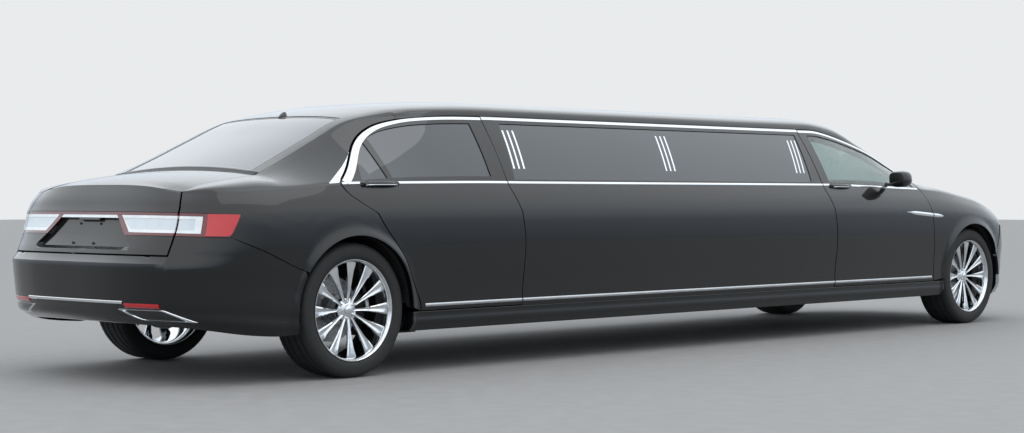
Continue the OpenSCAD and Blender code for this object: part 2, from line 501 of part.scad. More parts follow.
// stations of the rear door along its sill; columns 2 and 3 hold the bar before the quarter pane
rear_at = [-58, 90, 286, 322, 560, 800, 1060, 1173];
rear_up = [40, 170, 250, 292, 560, 800, 1066, 1170];
function rear_door_grid() = let(n = 7, f = [for (i = [0:n]) (rear_at[i] + 58) / (1173 + 58)])
    [for (i = [0:n]) concat([for (v = rear_v) let(a = line(rear_line, v), b = line(pillar_line, v) - shut_gap / 2)
        [mix(a, b, f[i]), v]],
        [for (k = [0.09, 0.35, 0.62, 0.9, 1]) let(t = [rear_up[i], line(top_line, rear_up[i])],
            a = [rear_at[i], 3], z = mix(a, t, k)) z])];
rear_holes = [[1, 2, 8, 11], [3, 6, 8, 11]];
function front_door_grid() = [for (i = [0:8]) [for (v = side_v) let(a = line(pillar_line, v) + shut_gap / 2,
        b = line(front_line, v), p = mix(1266, 1262, v - 3), q = min(b - 60, 2300),
        f = i == 0 ? 0 : i == 8 ? 1 : clamp((mix(1262, q, (i - 1) / 6) - a) / (b - a)))
    [mix(a, b, f) + stretch, v]]];
front_holes = [[1, 7, 7, 10]];
door_bevel = 15;    // how much smaller a door is inside than outside
module door(g, holes) {
    shell(face(g, 0), deep_face(shrink(g, door_bevel, 0.02)), holes);
}
module front_door_left() {
    color("#101214") door(front_door_grid(), front_holes);
}
module front_door_right() {
    right() front_door_left();
}
module rear_door_left() {
    color("#101214") door(rear_door_grid(), rear_holes);
}
module rear_door_right() {
    right() rear_door_left();
}
// a pane in the hole i0..i1, j0..j1 of a panel grid
module pane(g, i0, i1, j0, j1) {
    c = pane_clear * 1.4;
    n = [for (i = [i0:i1]) [for (j = [j0:j1]) g[i][j] + [i == i0 ? c : i == i1 ? -c : 0,
        j == j0 ? c / 300 : j == j1 ? -c / 300 : 0]]];
    shell(face(n, 5), face(n, 5 + glass_t));
}
module front_door_glass_left() {
    color("#20262a") pane(front_door_grid(), 1, 7, 7, 10);
}
module front_door_glass_right() {
    right() front_door_glass_left();
}
module rear_door_glass_left() {
    color("#20262a") {
        pane(rear_door_grid(), 1, 2, 8, 11);
        pane(rear_door_grid(), 3, 6, 8, 11);
    }
}
module rear_door_glass_right() {
    right() rear_door_glass_left();
}

// ---------- door frames: the inner posts and rails that the doors close against ----------

module frame_ring(g, holes) {
    shell(deep_face(g, rest_gap), deep_face(g, rest_gap + post_t), holes);
}
module door_frames() {
    f = shrink(front_door_grid(), door_bevel, 0.02);
    fg = concat([[for (p = f[0]) p - [frame_lip + door_bevel, 0]]], f);
    r = shrink(rear_door_grid(), door_bevel, 0.02);
    rg = concat(r, [[for (p = r[7]) p + [frame_lip + door_bevel, 0]]]);
    color("#1b1d20") both_sides() {
        frame_ring(fg, [[2, 8, 1, 10]]);
        frame_ring(rg, [[1, 6, 1, 11]]);
    }
}

// ---------- floor and underbody ----------

floor_z = 262;       // underside of the cabin floor
floor_t = 36;        // thickness of the floor
sill_in = 60;        // depth of the sills
floor_y = hw - 25.6 - sill_in;
function ux(u) = x_rear + u;                // from the rear axle, rear end
function fx(u) = x_rear + u + stretch;      // the same, front end
module block(x0, x1, y0, y1, z0, z1) {
    translate([x0, y0, z0]) cube([x1 - x0, y1 - y0, z1 - z0]);
}
tub_y = 552;         // inner side of the rear wheel housings
liner_r = arch_r + 8;
tower_z = tyre_r + liner_r + 5.6;   // underside of the towers over the front wheels
module floor_pan() {
    color("#26282b") {
        block(ux(470), fx(2440), -floor_y, floor_y, floor_z, floor_z + floor_t);
        block(ux(-940), ux(469), -tub_y + 0.4, tub_y - 0.4, 420, 450);
        block(ux(440), ux(469.6), -tub_y + 8, tub_y - 8, floor_z, 419.6);
        block(fx(2441), fx(2466), -700, 700, floor_z, 940);
    }
}
// one wheel housing: an arch band and its inner wall
module housing(y_in, y_out) {
    rotate([90, 0, 0]) translate([0, 0, -y_out]) difference() {
        cylinder(r = liner_r + 5, h = y_out - y_in);
        translate([0, 0, -1]) cylinder(r = liner_r, h = y_out - y_in - 4);
        translate([-500, -1000, -1]) cube([1000, 1000 + 20, 600]);
        cylinder(r = 140, h = 600);
    }
}
module wheel_liners() {
    color("#17181a") both_sides() {
        translate([ux(0), 0, tyre_r]) housing(tub_y, hw - 62);
        translate([fx(base_wb), 0, tyre_r]) rotate([90, 0, 0]) translate([0, 0, -(hw - 42 - wall_t)])
            difference() {
                cylinder(r = liner_r + 5, h = 290);
                translate([0, 0, -1]) cylinder(r = liner_r, h = 292);
                translate([-500, -1000, -1]) cube([1000, 1000 + 60, 600]);
            }
    }
}
module subframes() {
    zc = tyre_r;
    color("#2e3134") {
        // rails from the firewall to the nose
        both_sides() block(fx(2466.4), fx(3740), 380, 440, 400, 500);
        // towers over the front wheel housings
        both_sides() block(fx(2944), fx(3044), 380, 440, 500.4, tower_z + 38.4);
        both_sides() block(fx(2944), fx(3044), 440.4, hw - 316, tower_z, tower_z + 38.4);
        both_sides() block(fx(2330), fx(2466), 380, 440, floor_z - 60.4, floor_z - 0.4);
        block(fx(3740.4), fx(3780), -600, 600, 380, 520);
        block(fx(2860), fx(2960), -379.6, 379.6, 400, 440);
        // rear cross member, differential and half shafts
        both_sides() block(ux(-900), ux(430), 380, 440, 330, 419.6);
        block(ux(-60), ux(60), -379.6, 379.6, 340, 400);
        translate([ux(0), 0, zc]) {
            both_sides() translate([0, 440.4, 0]) rotate([-90, 0, 0]) cylinder(r = 52, h = 60);
            both_sides() translate([0, 500.4, 0]) rotate([-90, 0, 0])
                cylinder(r = axle_r, h = wheel_y + 40 - 500.4);
            both_sides() caliper();
            both_sides() translate([-20, 470, -10]) cube([140, upright_y + 56 - 470, 50]);
        }
        // lower arms under the steered uprights
        translate([x_front, 0, zc]) both_sides() {
            translate([0, 0, ball_z - 24]) linear_extrude(24)
                polygon([[-120, 439.4], [120, 439.4], [120, 440], [22, upright_y + 30], [-22, upright_y + 30], [-120, 440]]);
            translate([-120, 400, ball_z - 24]) cube([240, 39, 50 - ball_z + 24 - 0.4]);
        }
        block(ux(-1069 + wall_t * 0.8), ux(-995), -440, 440, 451, 540);
        both_sides() block(ux(-994.6), ux(-940.4), 380, 440, 400, 500);
    }
}
axle_r = 24;         // stub axles
axle_clear = 0.3;    // between a stub axle and its hub
hub_len = 64;
disc_y = wheel_y - 78;   // middle plane of the brake discs
disc_t = 28;
// brake caliper over the disc, ahead of the rear axle or behind the front one
module caliper() {
    translate([0, disc_y, 0]) difference() {
        translate([96, -46, -58]) cube([disc_r - 72, 92, 128]);
        translate([0, disc_t / 2 + 5, 0]) rotate([90, 0, 0]) cylinder(r = disc_r + 7, h = disc_t + 10);
    }
}
module engine_block() {
    color("#3a3c3e") {
        block(fx(2620), fx(3300), -240, 240, 480, 760);
        block(fx(2466.4), fx(2619.6), -150, 150, 300, 700);
        block(fx(2900), fx(2961), -160, 160, 440.4, 479.6);
        block(fx(3560), fx(3620), -340, 340, 330, 720);
        block(fx(3620.4), fx(3739.8), -60, 60, 420, 480);
    }
}
module fuel_tank() {
    color("#2a2c2e") block(ux(480), ux(900), -420, 420, 170, floor_z - 0.4);
}
module exhaust_system() {
    color("#8a8d90") {
        translate([ux(1000), -250, floor_z - 40.3]) rotate([0, 90, 0]) cylinder(r = 40, h = wheelbase - 1000 - 700);
        block(ux(-800), ux(-520), 180, 372, 300, 419.6);
        block(ux(-800), ux(-520), -372, -180, 300, 419.6);
        both_sides() block(ux(-940), ux(-800.4), 220, 330, 315, 370);
    }
}
module sill_covers() {
    us = [arch_r + 8, 480, 900, cut, cut + stretch, stretch + 1900, stretch + 2300, stretch + 2520,
        stretch + base_wb - arch_r - 8];
    g = [for (u = us) [for (v = [0, 0.35, 0.6, door_low - gv]) [u, v]]];
    color("#101214") both_sides() panel(g, sill_in);
}

// ---------- cabin ----------

deck_z = floor_z + floor_t + 0.3;   // things stand on the floor here
module chair(w, cushion_l, z0, back_h, lean) {
    // seat cushion, then its back
    translate([-cushion_l / 2, -w / 2, z0]) cube([cushion_l, w, 130]);
    translate([-cushion_l / 2 - 0.4, -w / 2, z0 + 60]) rotate([0, -lean, 0]) translate([-120, 0, 0])
        cube([120, w, back_h]);
}
module front_seats() {
    color("#c9a878") both_sides() translate([fx(1560), 380, 0]) {
        translate([-200, -200, deck_z]) cube([400, 400, 130 - 0.4]);
        chair(500, 500, deck_z + 130, 640, 18);
    }
}
partition_u = 900;   // behind the front seats
module partition() {
    color("#1e2022") block(fx(partition_u), fx(partition_u + 40), -600, 600, deck_z, 1330);
}
module rear_bench() {
    color("#c9a878") {
        block(ux(500), ux(960), -560, 560, deck_z, deck_z + 260);
        block(ux(960.4), ux(980), -540, 540, deck_z, deck_z + 200);
        translate([ux(500.6), -540, deck_z + 198.2]) rotate([0, -20, 0]) translate([-120, 0, 0])
            cube([119, 1080, 560]);
    }
}
module side_lounge() {
    color("#c9a878") {
        block(ux(1500), ux(cut + stretch - 420), 330, 700, deck_z, deck_z + 250);
        block(ux(1500), ux(cut + stretch - 420), 700.4, 800, deck_z, deck_z + 560);
    }
}
module bar_cabinet() {
    color("#5a3a22") block(ux(1900), ux(cut + stretch - 900), -800, -440, deck_z, deck_z + 520);
}
module dashboard() {
    color("#222426") {
        block(fx(2160), fx(2440.6), -780, 780, 720, 930);
        block(fx(1700), fx(2159.6), -110, 110, deck_z, 620);
        block(fx(2160), fx(2440.6), -110, 110, deck_z, 719.6);
    }
}

// ---------- mirrors ----------

mirror_u = 1950;
module mirror_left() {
    color("#101214") {
        p = skin(stretch + mirror_u, 3.03);
        translate([p[0] - 60, p[1] + 62, p[2] - 6]) cube([120, 134, 112]);
        translate([p[0] - 20, p[1] + rest_gap, p[2]]) cube([50, 64, 30]);
    }
}
module mirror_right() {
    right() mirror_left();
}

// ---------- wheels ----------

rim_w = 222;
module ring_profile(points) {
    rotate_extrude() polygon(points);
}
// wheels are drawn along Z, the outer face up
module tyre() {
    w = tyre_w / 2;
    r = rim_r - 10 + 0.4;
    ring_profile([[r, -w + 15], [rim_r + 1, -w + 15], [r + 30, -w], [tyre_r - 30, -w],
        [tyre_r - 8, -w + 12], [tyre_r, -w + 32], [tyre_r, w - 32], [tyre_r - 8, w - 12],
        [tyre_r - 30, w], [r + 30, w], [rim_r + 1, w - 15], [r, w - 15],
        [r, w - 24], [r + 30, w - 14], [tyre_r - 22, w - 20], [tyre_r - 16, 0],
        [tyre_r - 22, -w + 20], [r + 30, -w + 14], [r, -w + 24]]);
}
module wheel() {
    w = tyre_w / 2 - 14;
    r = rim_r - 10;
    ring_profile([[r, -w + 0.4], [rim_r, -w + 0.4], [rim_r, -w - 7], [r - 8, -w - 7], [r - 12, 0],
        [r - 8, w + 7], [rim_r, w + 7], [rim_r, w - 0.4], [r, w - 0.4]]);
    difference() {
        union() {
            translate([0, 0, 34]) cylinder(r = 74, h = 34);
            translate([0, 0, -30]) cylinder(r = 50, h = 64);
            for (k = [0:spokes - 1]) rotate([0, 0, k * 360 / spokes]) translate([0, 0, 40])
                linear_extrude(24) polygon([[60, -11], [rim_r - 24, -26], [rim_r - 16, -26],
                    [rim_r - 16, 26], [rim_r - 24, 26], [60, 11]]);
        }
        translate([0, 0, -31]) cylinder(r = axle_r + axle_clear, h = 72);
    }
    translate([0, 0, disc_y - wheel_y - disc_t / 2]) difference() {
        union() {
            cylinder(r = disc_r, h = disc_t);
            cylinder(r = 63, h = 64 + disc_t / 2);
        }
        translate([0, 0, -1]) cylinder(r = axle_r + axle_clear, h = 66 + disc_t);
    }
}
module at_wheel(x, side) {
    translate([x, side * wheel_y, tyre_r]) rotate([-90 * side, 0, 0]) children();
}
module front_wheel_left() {
    color("#d5d8db") at_wheel(x_front, 1) wheel();
}
module front_wheel_right() {
    color("#d5d8db") at_wheel(x_front, -1) wheel();
}
module rear_wheel_left() {
    color("#d5d8db") at_wheel(x_rear, 1) wheel();
}
module rear_wheel_right() {
    color("#d5d8db") at_wheel(x_rear, -1) wheel();
}
module front_tyre_left() {
    color("#18191a") at_wheel(x_front, 1) tyre();
}
module front_tyre_right() {
    color("#18191a") at_wheel(x_front, -1) tyre();
}
module rear_tyre_left() {
    color("#18191a") at_wheel(x_rear, 1) tyre();
}
module rear_tyre_right() {
    color("#18191a") at_wheel(x_rear, -1) tyre();
}

// ---------- steering ----------

king_y = wheel_y - 14;
upright_y = disc_y - disc_t / 2 - 86;
ball_z = -64.3;      // top of the lower arm, from the wheel's centre
module knuckle_left() {
    color("#55585b") translate([x_front, 0, tyre_r]) {
        translate([0, disc_y - disc_t / 2 - 46, 0]) rotate([-90, 0, 0])
            cylinder(r = axle_r, h = wheel_y + 36 - (disc_y - disc_t / 2 - 46));
        translate([-40, upright_y, -40]) cube([80, 40.4, 130]);
        translate([0, upright_y + 20, 80]) cylinder(r = 30, h = 250);
        translate([0, upright_y + 20, ball_z + rest_gap]) cylinder(r = 18, h = -ball_z - 30);
        translate([-140, upright_y + 2, -40]) cube([110, 30, 26]);
        translate([-60, upright_y + 6, -10]) cube([180, 50, 50]);
        caliper();
    }
}
module knuckle_right() {
    right() knuckle_left();
}
rack_x = fx(2880);
rack_r = 13;
module steering_rack() {
    color("#6a6d70") translate([rack_x, -290, 440 + rest_gap + rack_r]) rotate([-90, 0, 0])
        cylinder(r = rack_r, h = 580);
}
steer_u = 2040;
module steering_wheel() {
    color("#202224") translate([fx(steer_u), 380, 860]) rotate([0, -65, 0]) {
        rotate_extrude() translate([180, 0]) circle(r = 15);
        cylinder(r = 55, h = 40, center = true);
        for (a = [0, 120, 240]) rotate([0, 0, a]) translate([50, -14, -8]) cube([122, 28, 16]);
        translate([0, 0, -123.6]) cylinder(r = 18, h = 123.6);
    }
}

quarter_panels();
centre_panels();
centre_windows();
roof();
windshield();
rear_window();
front_fenders();
rear_bumper();
front_bumper();
tail_lamps();
trunk_lid();
lid_lamp_bar();
hood();
front_door_left();
front_door_right();
rear_door_left();
rear_door_right();
front_door_glass_left();
front_door_glass_right();
rear_door_glass_left();
rear_door_glass_right();
door_frames();
sill_covers();
cowls();
lid_frames();
headlamps();
grille();
floor_pan();
wheel_liners();
subframes();
engine_block();
fuel_tank();
exhaust_system();
front_seats();
partition();
rear_bench();
side_lounge();
bar_cabinet();
dashboard();
mirror_left();
mirror_right();
steering_wheel();
steering_rack();
knuckle_left();
knuckle_right();
front_wheel_left();
front_wheel_right();
rear_wheel_left();
rear_wheel_right();
front_tyre_left();
front_tyre_right();
rear_tyre_left();
rear_tyre_right();
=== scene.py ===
"""Looks of a black stretch limousine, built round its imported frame.

Lengths in the shape functions are millimetres, as on a body drawing; MM turns them to metres.
U is the distance ahead of the rear axle, v climbs the side: 0 lower edge, 1 moulding, 2 crease,
3 window sill or shoulder, 4 roof rail or lid edge, 5 middle of the car.
"""
import math

import bmesh
import bpy
from mathutils import Matrix, Vector


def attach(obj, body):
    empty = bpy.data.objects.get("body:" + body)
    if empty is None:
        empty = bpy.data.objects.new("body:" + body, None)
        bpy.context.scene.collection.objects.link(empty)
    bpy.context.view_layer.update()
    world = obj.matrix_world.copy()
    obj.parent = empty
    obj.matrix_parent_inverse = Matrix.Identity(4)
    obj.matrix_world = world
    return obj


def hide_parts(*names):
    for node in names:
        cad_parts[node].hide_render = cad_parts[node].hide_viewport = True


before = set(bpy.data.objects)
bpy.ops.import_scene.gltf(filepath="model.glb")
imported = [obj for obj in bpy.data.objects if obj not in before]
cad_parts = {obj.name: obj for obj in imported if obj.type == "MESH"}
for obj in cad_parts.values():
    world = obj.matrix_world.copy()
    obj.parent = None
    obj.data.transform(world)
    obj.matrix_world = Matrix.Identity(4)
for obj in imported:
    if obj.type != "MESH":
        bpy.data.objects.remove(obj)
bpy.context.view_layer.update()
MM = 0.001
STRETCH, BASE_WB, CUT = 3048.0, 2994.0, 1240.0
TAIL_END, NOSE_END = -1122.0, 3994.0
X_REAR = -2960.0
HALF, BELT, ROOF = 956.0, 1012.0, 1490.0
TYRE_R, TYRE_W, WHEEL_Y = 350.0, 245.0, 804.0
ARCH_R, GAP, WALL = 388.0, 6.0, 30.0
DOOR_DEEP, FRAME_DEEP = 96.0, 44.0

# ---------- camera ----------


def set_camera():
    """A standing eye behind the car's right side, looking along it."""
    yaw, pitch = math.radians(44.0), math.radians(-0.6)
    cam = bpy.data.cameras.new("camera")
    cam.lens, cam.sensor_width = 68.46, 36.0
    ob = bpy.data.objects.new("camera", cam)
    bpy.context.scene.collection.objects.link(ob)
    look = Vector((math.cos(yaw) * math.cos(pitch), math.sin(yaw) * math.cos(pitch), math.sin(pitch)))
    ob.location = (-9.626, -8.489, 0.940)
    ob.rotation_euler = look.to_track_quat("-Z", "Y").to_euler()
    bpy.context.scene.camera = ob


set_camera()

# ---------- curves ----------


def clamp(t, a=0.0, b=1.0):
    return max(a, min(b, t))


def mix(a, b, t):
    return a + (b - a) * t


def smooth(t):
    t = clamp(t)
    return t * t * (3 - 2 * t)


def slope(p, i):
    a, b = max(i - 1, 0), min(i + 1, len(p) - 1)
    return (p[b][1] - p[a][1]) / (p[b][0] - p[a][0])


def hermite(a, b, ta, tb, t):
    t2, t3 = t * t, t * t * t
    return a * (2 * t3 - 3 * t2 + 1) + ta * (t3 - 2 * t2 + t) + b * (3 * t2 - 2 * t3) + tb * (t3 - t2)


def line(p, x):
    """Smooth curve through the points of p."""
    i = 0
    while i < len(p) - 2 and x >= p[i + 1][0]:
        i += 1
    h = p[i + 1][0] - p[i][0]
    t = clamp((x - p[i][0]) / h)
    return hermite(p[i][1], p[i + 1][1], h * slope(p, i), h * slope(p, i + 1), t)


# ---------- the body's feature lines ----------

SIDE_IN = ((-1122, 34), (-700, 20), (-300, 6), (0, 1), (600, 3), (1240, 2), (2300, 2), (2994, 1),
    (3300, 8), (3994, 40))
LOW_Z = ((-1122, 300), (-960, 285), (-690, 252), (-450, 236), (0, 226), (450, 222), (2900, 222),
    (3400, 214), (3994, 205))
TRIM_Z = ((-1122, 405), (-700, 398), (-400, 362), (0, 346), (1240, 345), (2400, 345), (2994, 350),
    (3500, 385), (3994, 400))
CREASE_Z = ((-1122, 866), (-680, 852), (0, 852), (1240, 853), (2100, 846), (2600, 832), (2994, 806),
    (3400, 742), (3700, 690), (3994, 672))
SILL_DROP = ((-1122, 14), (-1036, 50), (-950, 52), (-700, 46), (-400, 27), (-50, 6), (400, 0),
    (1240, -4), (2100, 15), (2450, 27), (2700, 50), (2994, 93), (3180, 124), (3540, 206), (3740, 226),
    (3994, 197))
RAIL_IN = ((-1122, 336), (-420, 316), (-200, 336), (0, 352), (230, 372), (500, 350), (800, 320),
    (1240, 301), (1400, 301), (1650, 296), (1955, 270), (2160, 242), (2270, 225), (2500, 198),
    (2705, 202), (3200, 238), (3600, 288), (3994, 350))
RAIL_RISE = ((-420, 0.075), (-200, 0.27), (0, 0.462), (230, 0.67), (500, 0.762), (800, 0.797),
    (1240, 0.812), (1400, 0.803), (1650, 0.708), (1955, 0.525), (2160, 0.33), (2270, 0.22),
    (2500, 0.03))
RIDGE_RISE = ((-430, 0.145), (-300, 0.265), (0, 0.54), (230, 0.752), (330, 0.815), (600, 0.92),
    (900, 0.975), (1240, 1), (1500, 0.996), (1700, 0.967), (1800, 0.932), (2000, 0.76), (2270, 0.51),
    (2700, 0.105), (2760, 0.075))
RAIL_TAIL = ((-1122, -55), (-1036, -50), (-900, -24), (-700, 4), (-420, 36))
RIDGE_TAIL = ((-1122, -14), (-1000, 4), (-900, 18), (-700, 43), (-500, 62), (-430, 69))
RAIL_NOSE = ((2500, 14), (2705, -9), (2994, -47), (3200, -77), (3600, -172), (3740, -217), (3994, -260))
RIDGE_NOSE = ((2760, 36), (2900, 32), (3000, 26), (3300, -8), (3600, -66), (3800, -126), (3900, -162),
    (3994, -197))
CROWN_A = ((-430, 2), (300, 2.4), (600, 2.6), (1600, 2.6), (1900, 2.2), (2700, 2))
CROWN_B = ((-430, 1), (300, 1.8), (600, 2.4), (1600, 2.4), (1900, 1.4), (2700, 1))
SIDE_TUCK = ((0, 48), (0.35, 20), (0.7, 20), (1, 12), (1.2, 12), (1.55, 0), (1.85, 3), (2, 8),
    (2.3, 20), (2.6, 38), (3, 72))
TAIL_TUCK = ((0, 150), (0.35, 62), (0.7, 40), (1, 22), (1.25, 4), (1.38, 0), (1.45, 4), (1.5, 38),
    (1.55, 46), (1.73, 92), (2, 136), (2.5, 166), (3, 206))
NOSE_TUCK = ((0, 130), (0.35, 60), (1, 20), (1.4, 0), (1.7, 10), (2, 24), (2.5, 40), (3, 58))

TAIL_U, NOSE_U, TAIL_N, NOSE_N, BULGE = -400.0, 3100.0, 3.2, 2.5, 16.0
FLARE, LIP = 12.0, 48.0


def upper(f):
    return BELT + f * (ROOF - BELT)


def rail_z(u):
    if u < -420:
        return BELT + line(RAIL_TAIL, u)
    return BELT + line(RAIL_NOSE, u) if u > 2500 else upper(line(RAIL_RISE, u))


def ridge_z(u):
    if u < -430:
        return BELT + line(RIDGE_TAIL, u)
    return BELT + line(RIDGE_NOSE, u) if u > 2760 else upper(line(RIDGE_RISE, u))


def sill_z(u):
    return BELT - line(SILL_DROP, u)


def tail_t(u):
    return clamp((TAIL_U - u) / (TAIL_U - TAIL_END))


def nose_t(u):
    return clamp((u - NOSE_U) / (NOSE_END - NOSE_U))


def corner(u):
    if u < TAIL_U:
        return (1 - tail_t(u) ** TAIL_N) ** (1 / TAIL_N)
    return (1 - nose_t(u) ** NOSE_N) ** (1 / NOSE_N)


def place(u, v):
    """Where a column lies along the car once tail and nose are tucked in."""
    return u + line(TAIL_TUCK, min(v, 3)) * tail_t(u) ** 2 - line(NOSE_TUCK, min(v, 3)) * nose_t(u) ** 3


def deck(u):
    return smooth((-250 - u) / 350) if u < CUT else smooth((u - 2400) / 300)


def side_y(u, v):
    return (HALF - line(SIDE_IN, u) - line(SIDE_TUCK, v)) * corner(u)


def rail_y(u):
    return HALF - line(RAIL_IN, u)


def side_z(u, v):
    if v < 1:
        return mix(line(LOW_Z, u), line(TRIM_Z, u), v)
    if v < 2:
        return mix(line(TRIM_Z, u), line(CREASE_Z, u), v - 1)
    return mix(line(CREASE_Z, u), sill_z(u), v - 2)


def v_of(u, z):
    a, b, c, d = line(LOW_Z, u), line(TRIM_Z, u), line(CREASE_Z, u), sill_z(u)
    return (z - a) / (b - a) if z < b else 1 + (z - b) / (c - b) if z < c else 2 + (z - c) / (d - c)


def flare(u, z):
    d = min(math.hypot(u, z - TYRE_R), math.hypot(u - BASE_WB, z - TYRE_R))
    return FLARE * (1 - smooth((d - ARCH_R) / LIP))


def crown_z(u, q):
    rise = max(1 - abs(q) ** line(CROWN_A, u), 0) ** (1 / line(CROWN_B, u))
    return rail_z(u) + (ridge_z(u) - rail_z(u)) * rise


def strip(u, f):
    """The shoulder between sill and roof rail at share f of its way."""
    y3, z3, y4, z4, g = side_y(u, 3), sill_z(u), rail_y(u), rail_z(u), deck(u)
    dy, dz = y4 - y3, z4 - z3
    long = math.hypot(dy, dz)
    sy, sz = side_y(u, 3) - side_y(u, 2.8), sill_z(u) - side_z(u, 2.8)
    s = long / max(1, math.hypot(sy, sz))
    ty, tz = -y4, 2 * (ridge_z(u) - z4)
    t = long / math.hypot(ty, tz)
    ay, az = mix(dy, sy * s, g * 0.8), mix(dz, sz * s, g * 0.8)
    by, bz = mix(dy, ty * t, g), mix(dz, tz * t, g)
    bow = (1 - g) * BULGE * 4 * f * (1 - f) * dz / max(long, 1)
    return hermite(y3, y4, ay, by, f) + bow, hermite(z3, z4, az, bz, f)


def base_u(U):
    return U if U < CUT else CUT if U < CUT + STRETCH else U - STRETCH


def skin(U, v):
    """A point of the outer skin, in metres; v above 5 is the other side."""
    side = 1 if v <= 5 else -1
    v = v if v <= 5 else 10 - v
    u = base_u(U)
    x = place(u, v)
    if v <= 3:
        z = side_z(u, v)
        y = side_y(u, v) + flare(u, z)
    elif v <= 4:
        y, z = strip(u, v - 3)
    else:
        y, z = rail_y(u) * (5 - v), crown_z(u, 5 - v)
    return Vector((X_REAR + U - u + x, side * y, z)) * MM


LEAN_SIDE = ((0, 0), (2.8, 0), (3, 6), (3.5, 28), (4, 46), (4.06, 56), (4.2, 74), (4.5, 86), (5, 90))
LEAN_DECK = ((0, 0), (2.5, 0), (2.8, 20), (3, 45), (3.3, 72), (4, 86), (5, 90))


def inward(U, v):
    """The way the panels' thickness is taken: level at the sides, downward on top."""
    side = 1 if v <= 5 else -1
    w = v if v <= 5 else 10 - v
    a, b = skin(U - 3, w), skin(U + 3, w)
    level = Vector((b.y - a.y, a.x - b.x, 0)).normalized()
    u = base_u(U)
    share = min(1, 1.8 * deck(u)) if u < -420 else deck(u)
    e = math.radians(mix(line(LEAN_SIDE, w), line(LEAN_DECK, w), share))
    return Vector((level.x * math.cos(e), side * level.y * math.cos(e), -math.sin(e)))


def outward(U, v):
    along = skin(U + 4, v) - skin(U - 4, v)
    up = skin(U, v + 0.01) - skin(U, v - 0.01)
    return up.cross(along).normalized()


def sunk(p, t):
    return skin(*p) + inward(*p) * (t * MM)


# ---------- shut lines ----------

DOOR_LOW, DOOR_HIGH, GV = 0.9, 3.97, GAP / 123
PILLAR = ((0, 1228), (1, 1232), (1.7, 1250), (2, 1232), (2.5, 1200), (3, 1176), (4, 1173))
FRONT = ((0, 2469), (1, 2466), (1.8, 2452), (2, 2439), (2.6, 2404), (3, 2370), (4, 2362))
REAR = ((0.9, 459), (1.063, 453), (1.308, 389), (1.578, 315), (1.927, 171), (2.6, -15), (3, -58))
TOP = ((-58, 3.02), (40, 3.27), (190, 3.66), (352, 3.85), (538, 3.925), (800, 3.962), (1100, 3.97),
       (3000, 3.97))
LAMP_U, LAMP_V0, LAMP_V1, BUMP_V, HEAD_V0, HEAD_V1 = -800, 1.74, 1.99, 1.52, 2.0, 2.76


def arc(cx, a0, a1, n):
    """Points of (u, v) along a wheel arch."""
    out = []
    for k in range(n + 1):
        a = math.radians(mix(a0, a1, k / n))
        u = cx + ARCH_R * math.cos(a)
        out.append((u, v_of(u, TYRE_R + ARCH_R * math.sin(a))))
    return out


def fore(points):
    return [(u + STRETCH, v) for u, v in points]


def low_at(u, z):
    return u, v_of(u, z)


def tail_col(q):
    return TAIL_U - (TAIL_U - TAIL_END) * (1 - q ** TAIL_N) ** (1 / TAIL_N)


def nose_col(q):
    return NOSE_U + (NOSE_END - NOSE_U) * (1 - q ** NOSE_N) ** (1 / NOSE_N)


def meet(a, b, off):
    """Where the belt line of a tapering end crosses the roof rail's width."""
    for _ in range(26):
        m = (a + b) / 2
        a, b = (m, b) if side_y(m, 3) > rail_y(m) + off else (a, m)
    return (a + b) / 2


TAIL_SEAM, NOSE_SEAM = meet(TAIL_U, TAIL_END, 4), meet(NOSE_U, NOSE_END, 4)
LID_SEAM, HOOD_SEAM = meet(TAIL_U, TAIL_END, -GAP), meet(NOSE_U, NOSE_END, -GAP)


def fine(points, n):
    """n steps between each pair of points or numbers."""
    out = []
    for a, b in zip(points, points[1:]):
        for k in range(n):
            t = k / n
            one = isinstance(a, (int, float))
            out.append(mix(a, b, t) if one else tuple(mix(p, q, t) for p, q in zip(a, b)))
    return out + [points[-1]]


def ruled(low, high, shares):
    """Columns that run straight from low to high at the given shares."""
    return [[(mix(a[0], b[0], f), mix(a[1], b[1], f)) for f in shares] for a, b in zip(low, high)]


def across(g):
    return g + [[(u, 10 - v) for u, v in c] for c in g[-2::-1]]


def face(g, t):
    return [[sunk(p, t) for p in c] for c in g]


def shrink(g, b, c):
    """The grid with its outer rows moved in by b along and c up the side."""
    n, m = len(g) - 1, len(g[0]) - 1
    return [[(p[0] + (b if i == 0 else -b if i == n else 0), p[1] + (c if j == 0 else -c if j == m else 0))
             for j, p in enumerate(col)] for i, col in enumerate(g)]


def deep(v):
    return DOOR_DEEP if v < 2.95 else FRAME_DEEP


# ---------- meshes ----------


def grid(nx, ny):
    bm = bmesh.new()
    bmesh.ops.create_grid(bm, x_segments=nx - 1, y_segments=ny - 1, size=0.5)
    return bm


def cell(co, nx, ny):
    return (co.x + 0.5) * (nx - 1), (co.y + 0.5) * (ny - 1)


def loft(rows, wrap=True, caps=True):
    """A skin through rows of points; wrap closes each row, caps closes both ends."""
    nx, ny = len(rows), len(rows[0]) + wrap
    bm = grid(nx, ny)
    for v in bm.verts:
        i, j = cell(v.co, nx, ny)
        v.co = rows[round(i)][round(j) % len(rows[0])]
    bmesh.ops.remove_doubles(bm, verts=bm.verts[:], dist=1e-5)
    if caps:
        bmesh.ops.holes_fill(bm, edges=[e for e in bm.edges if e.is_boundary], sides=0)
    bmesh.ops.recalc_face_normals(bm, faces=bm.faces[:])
    return bm


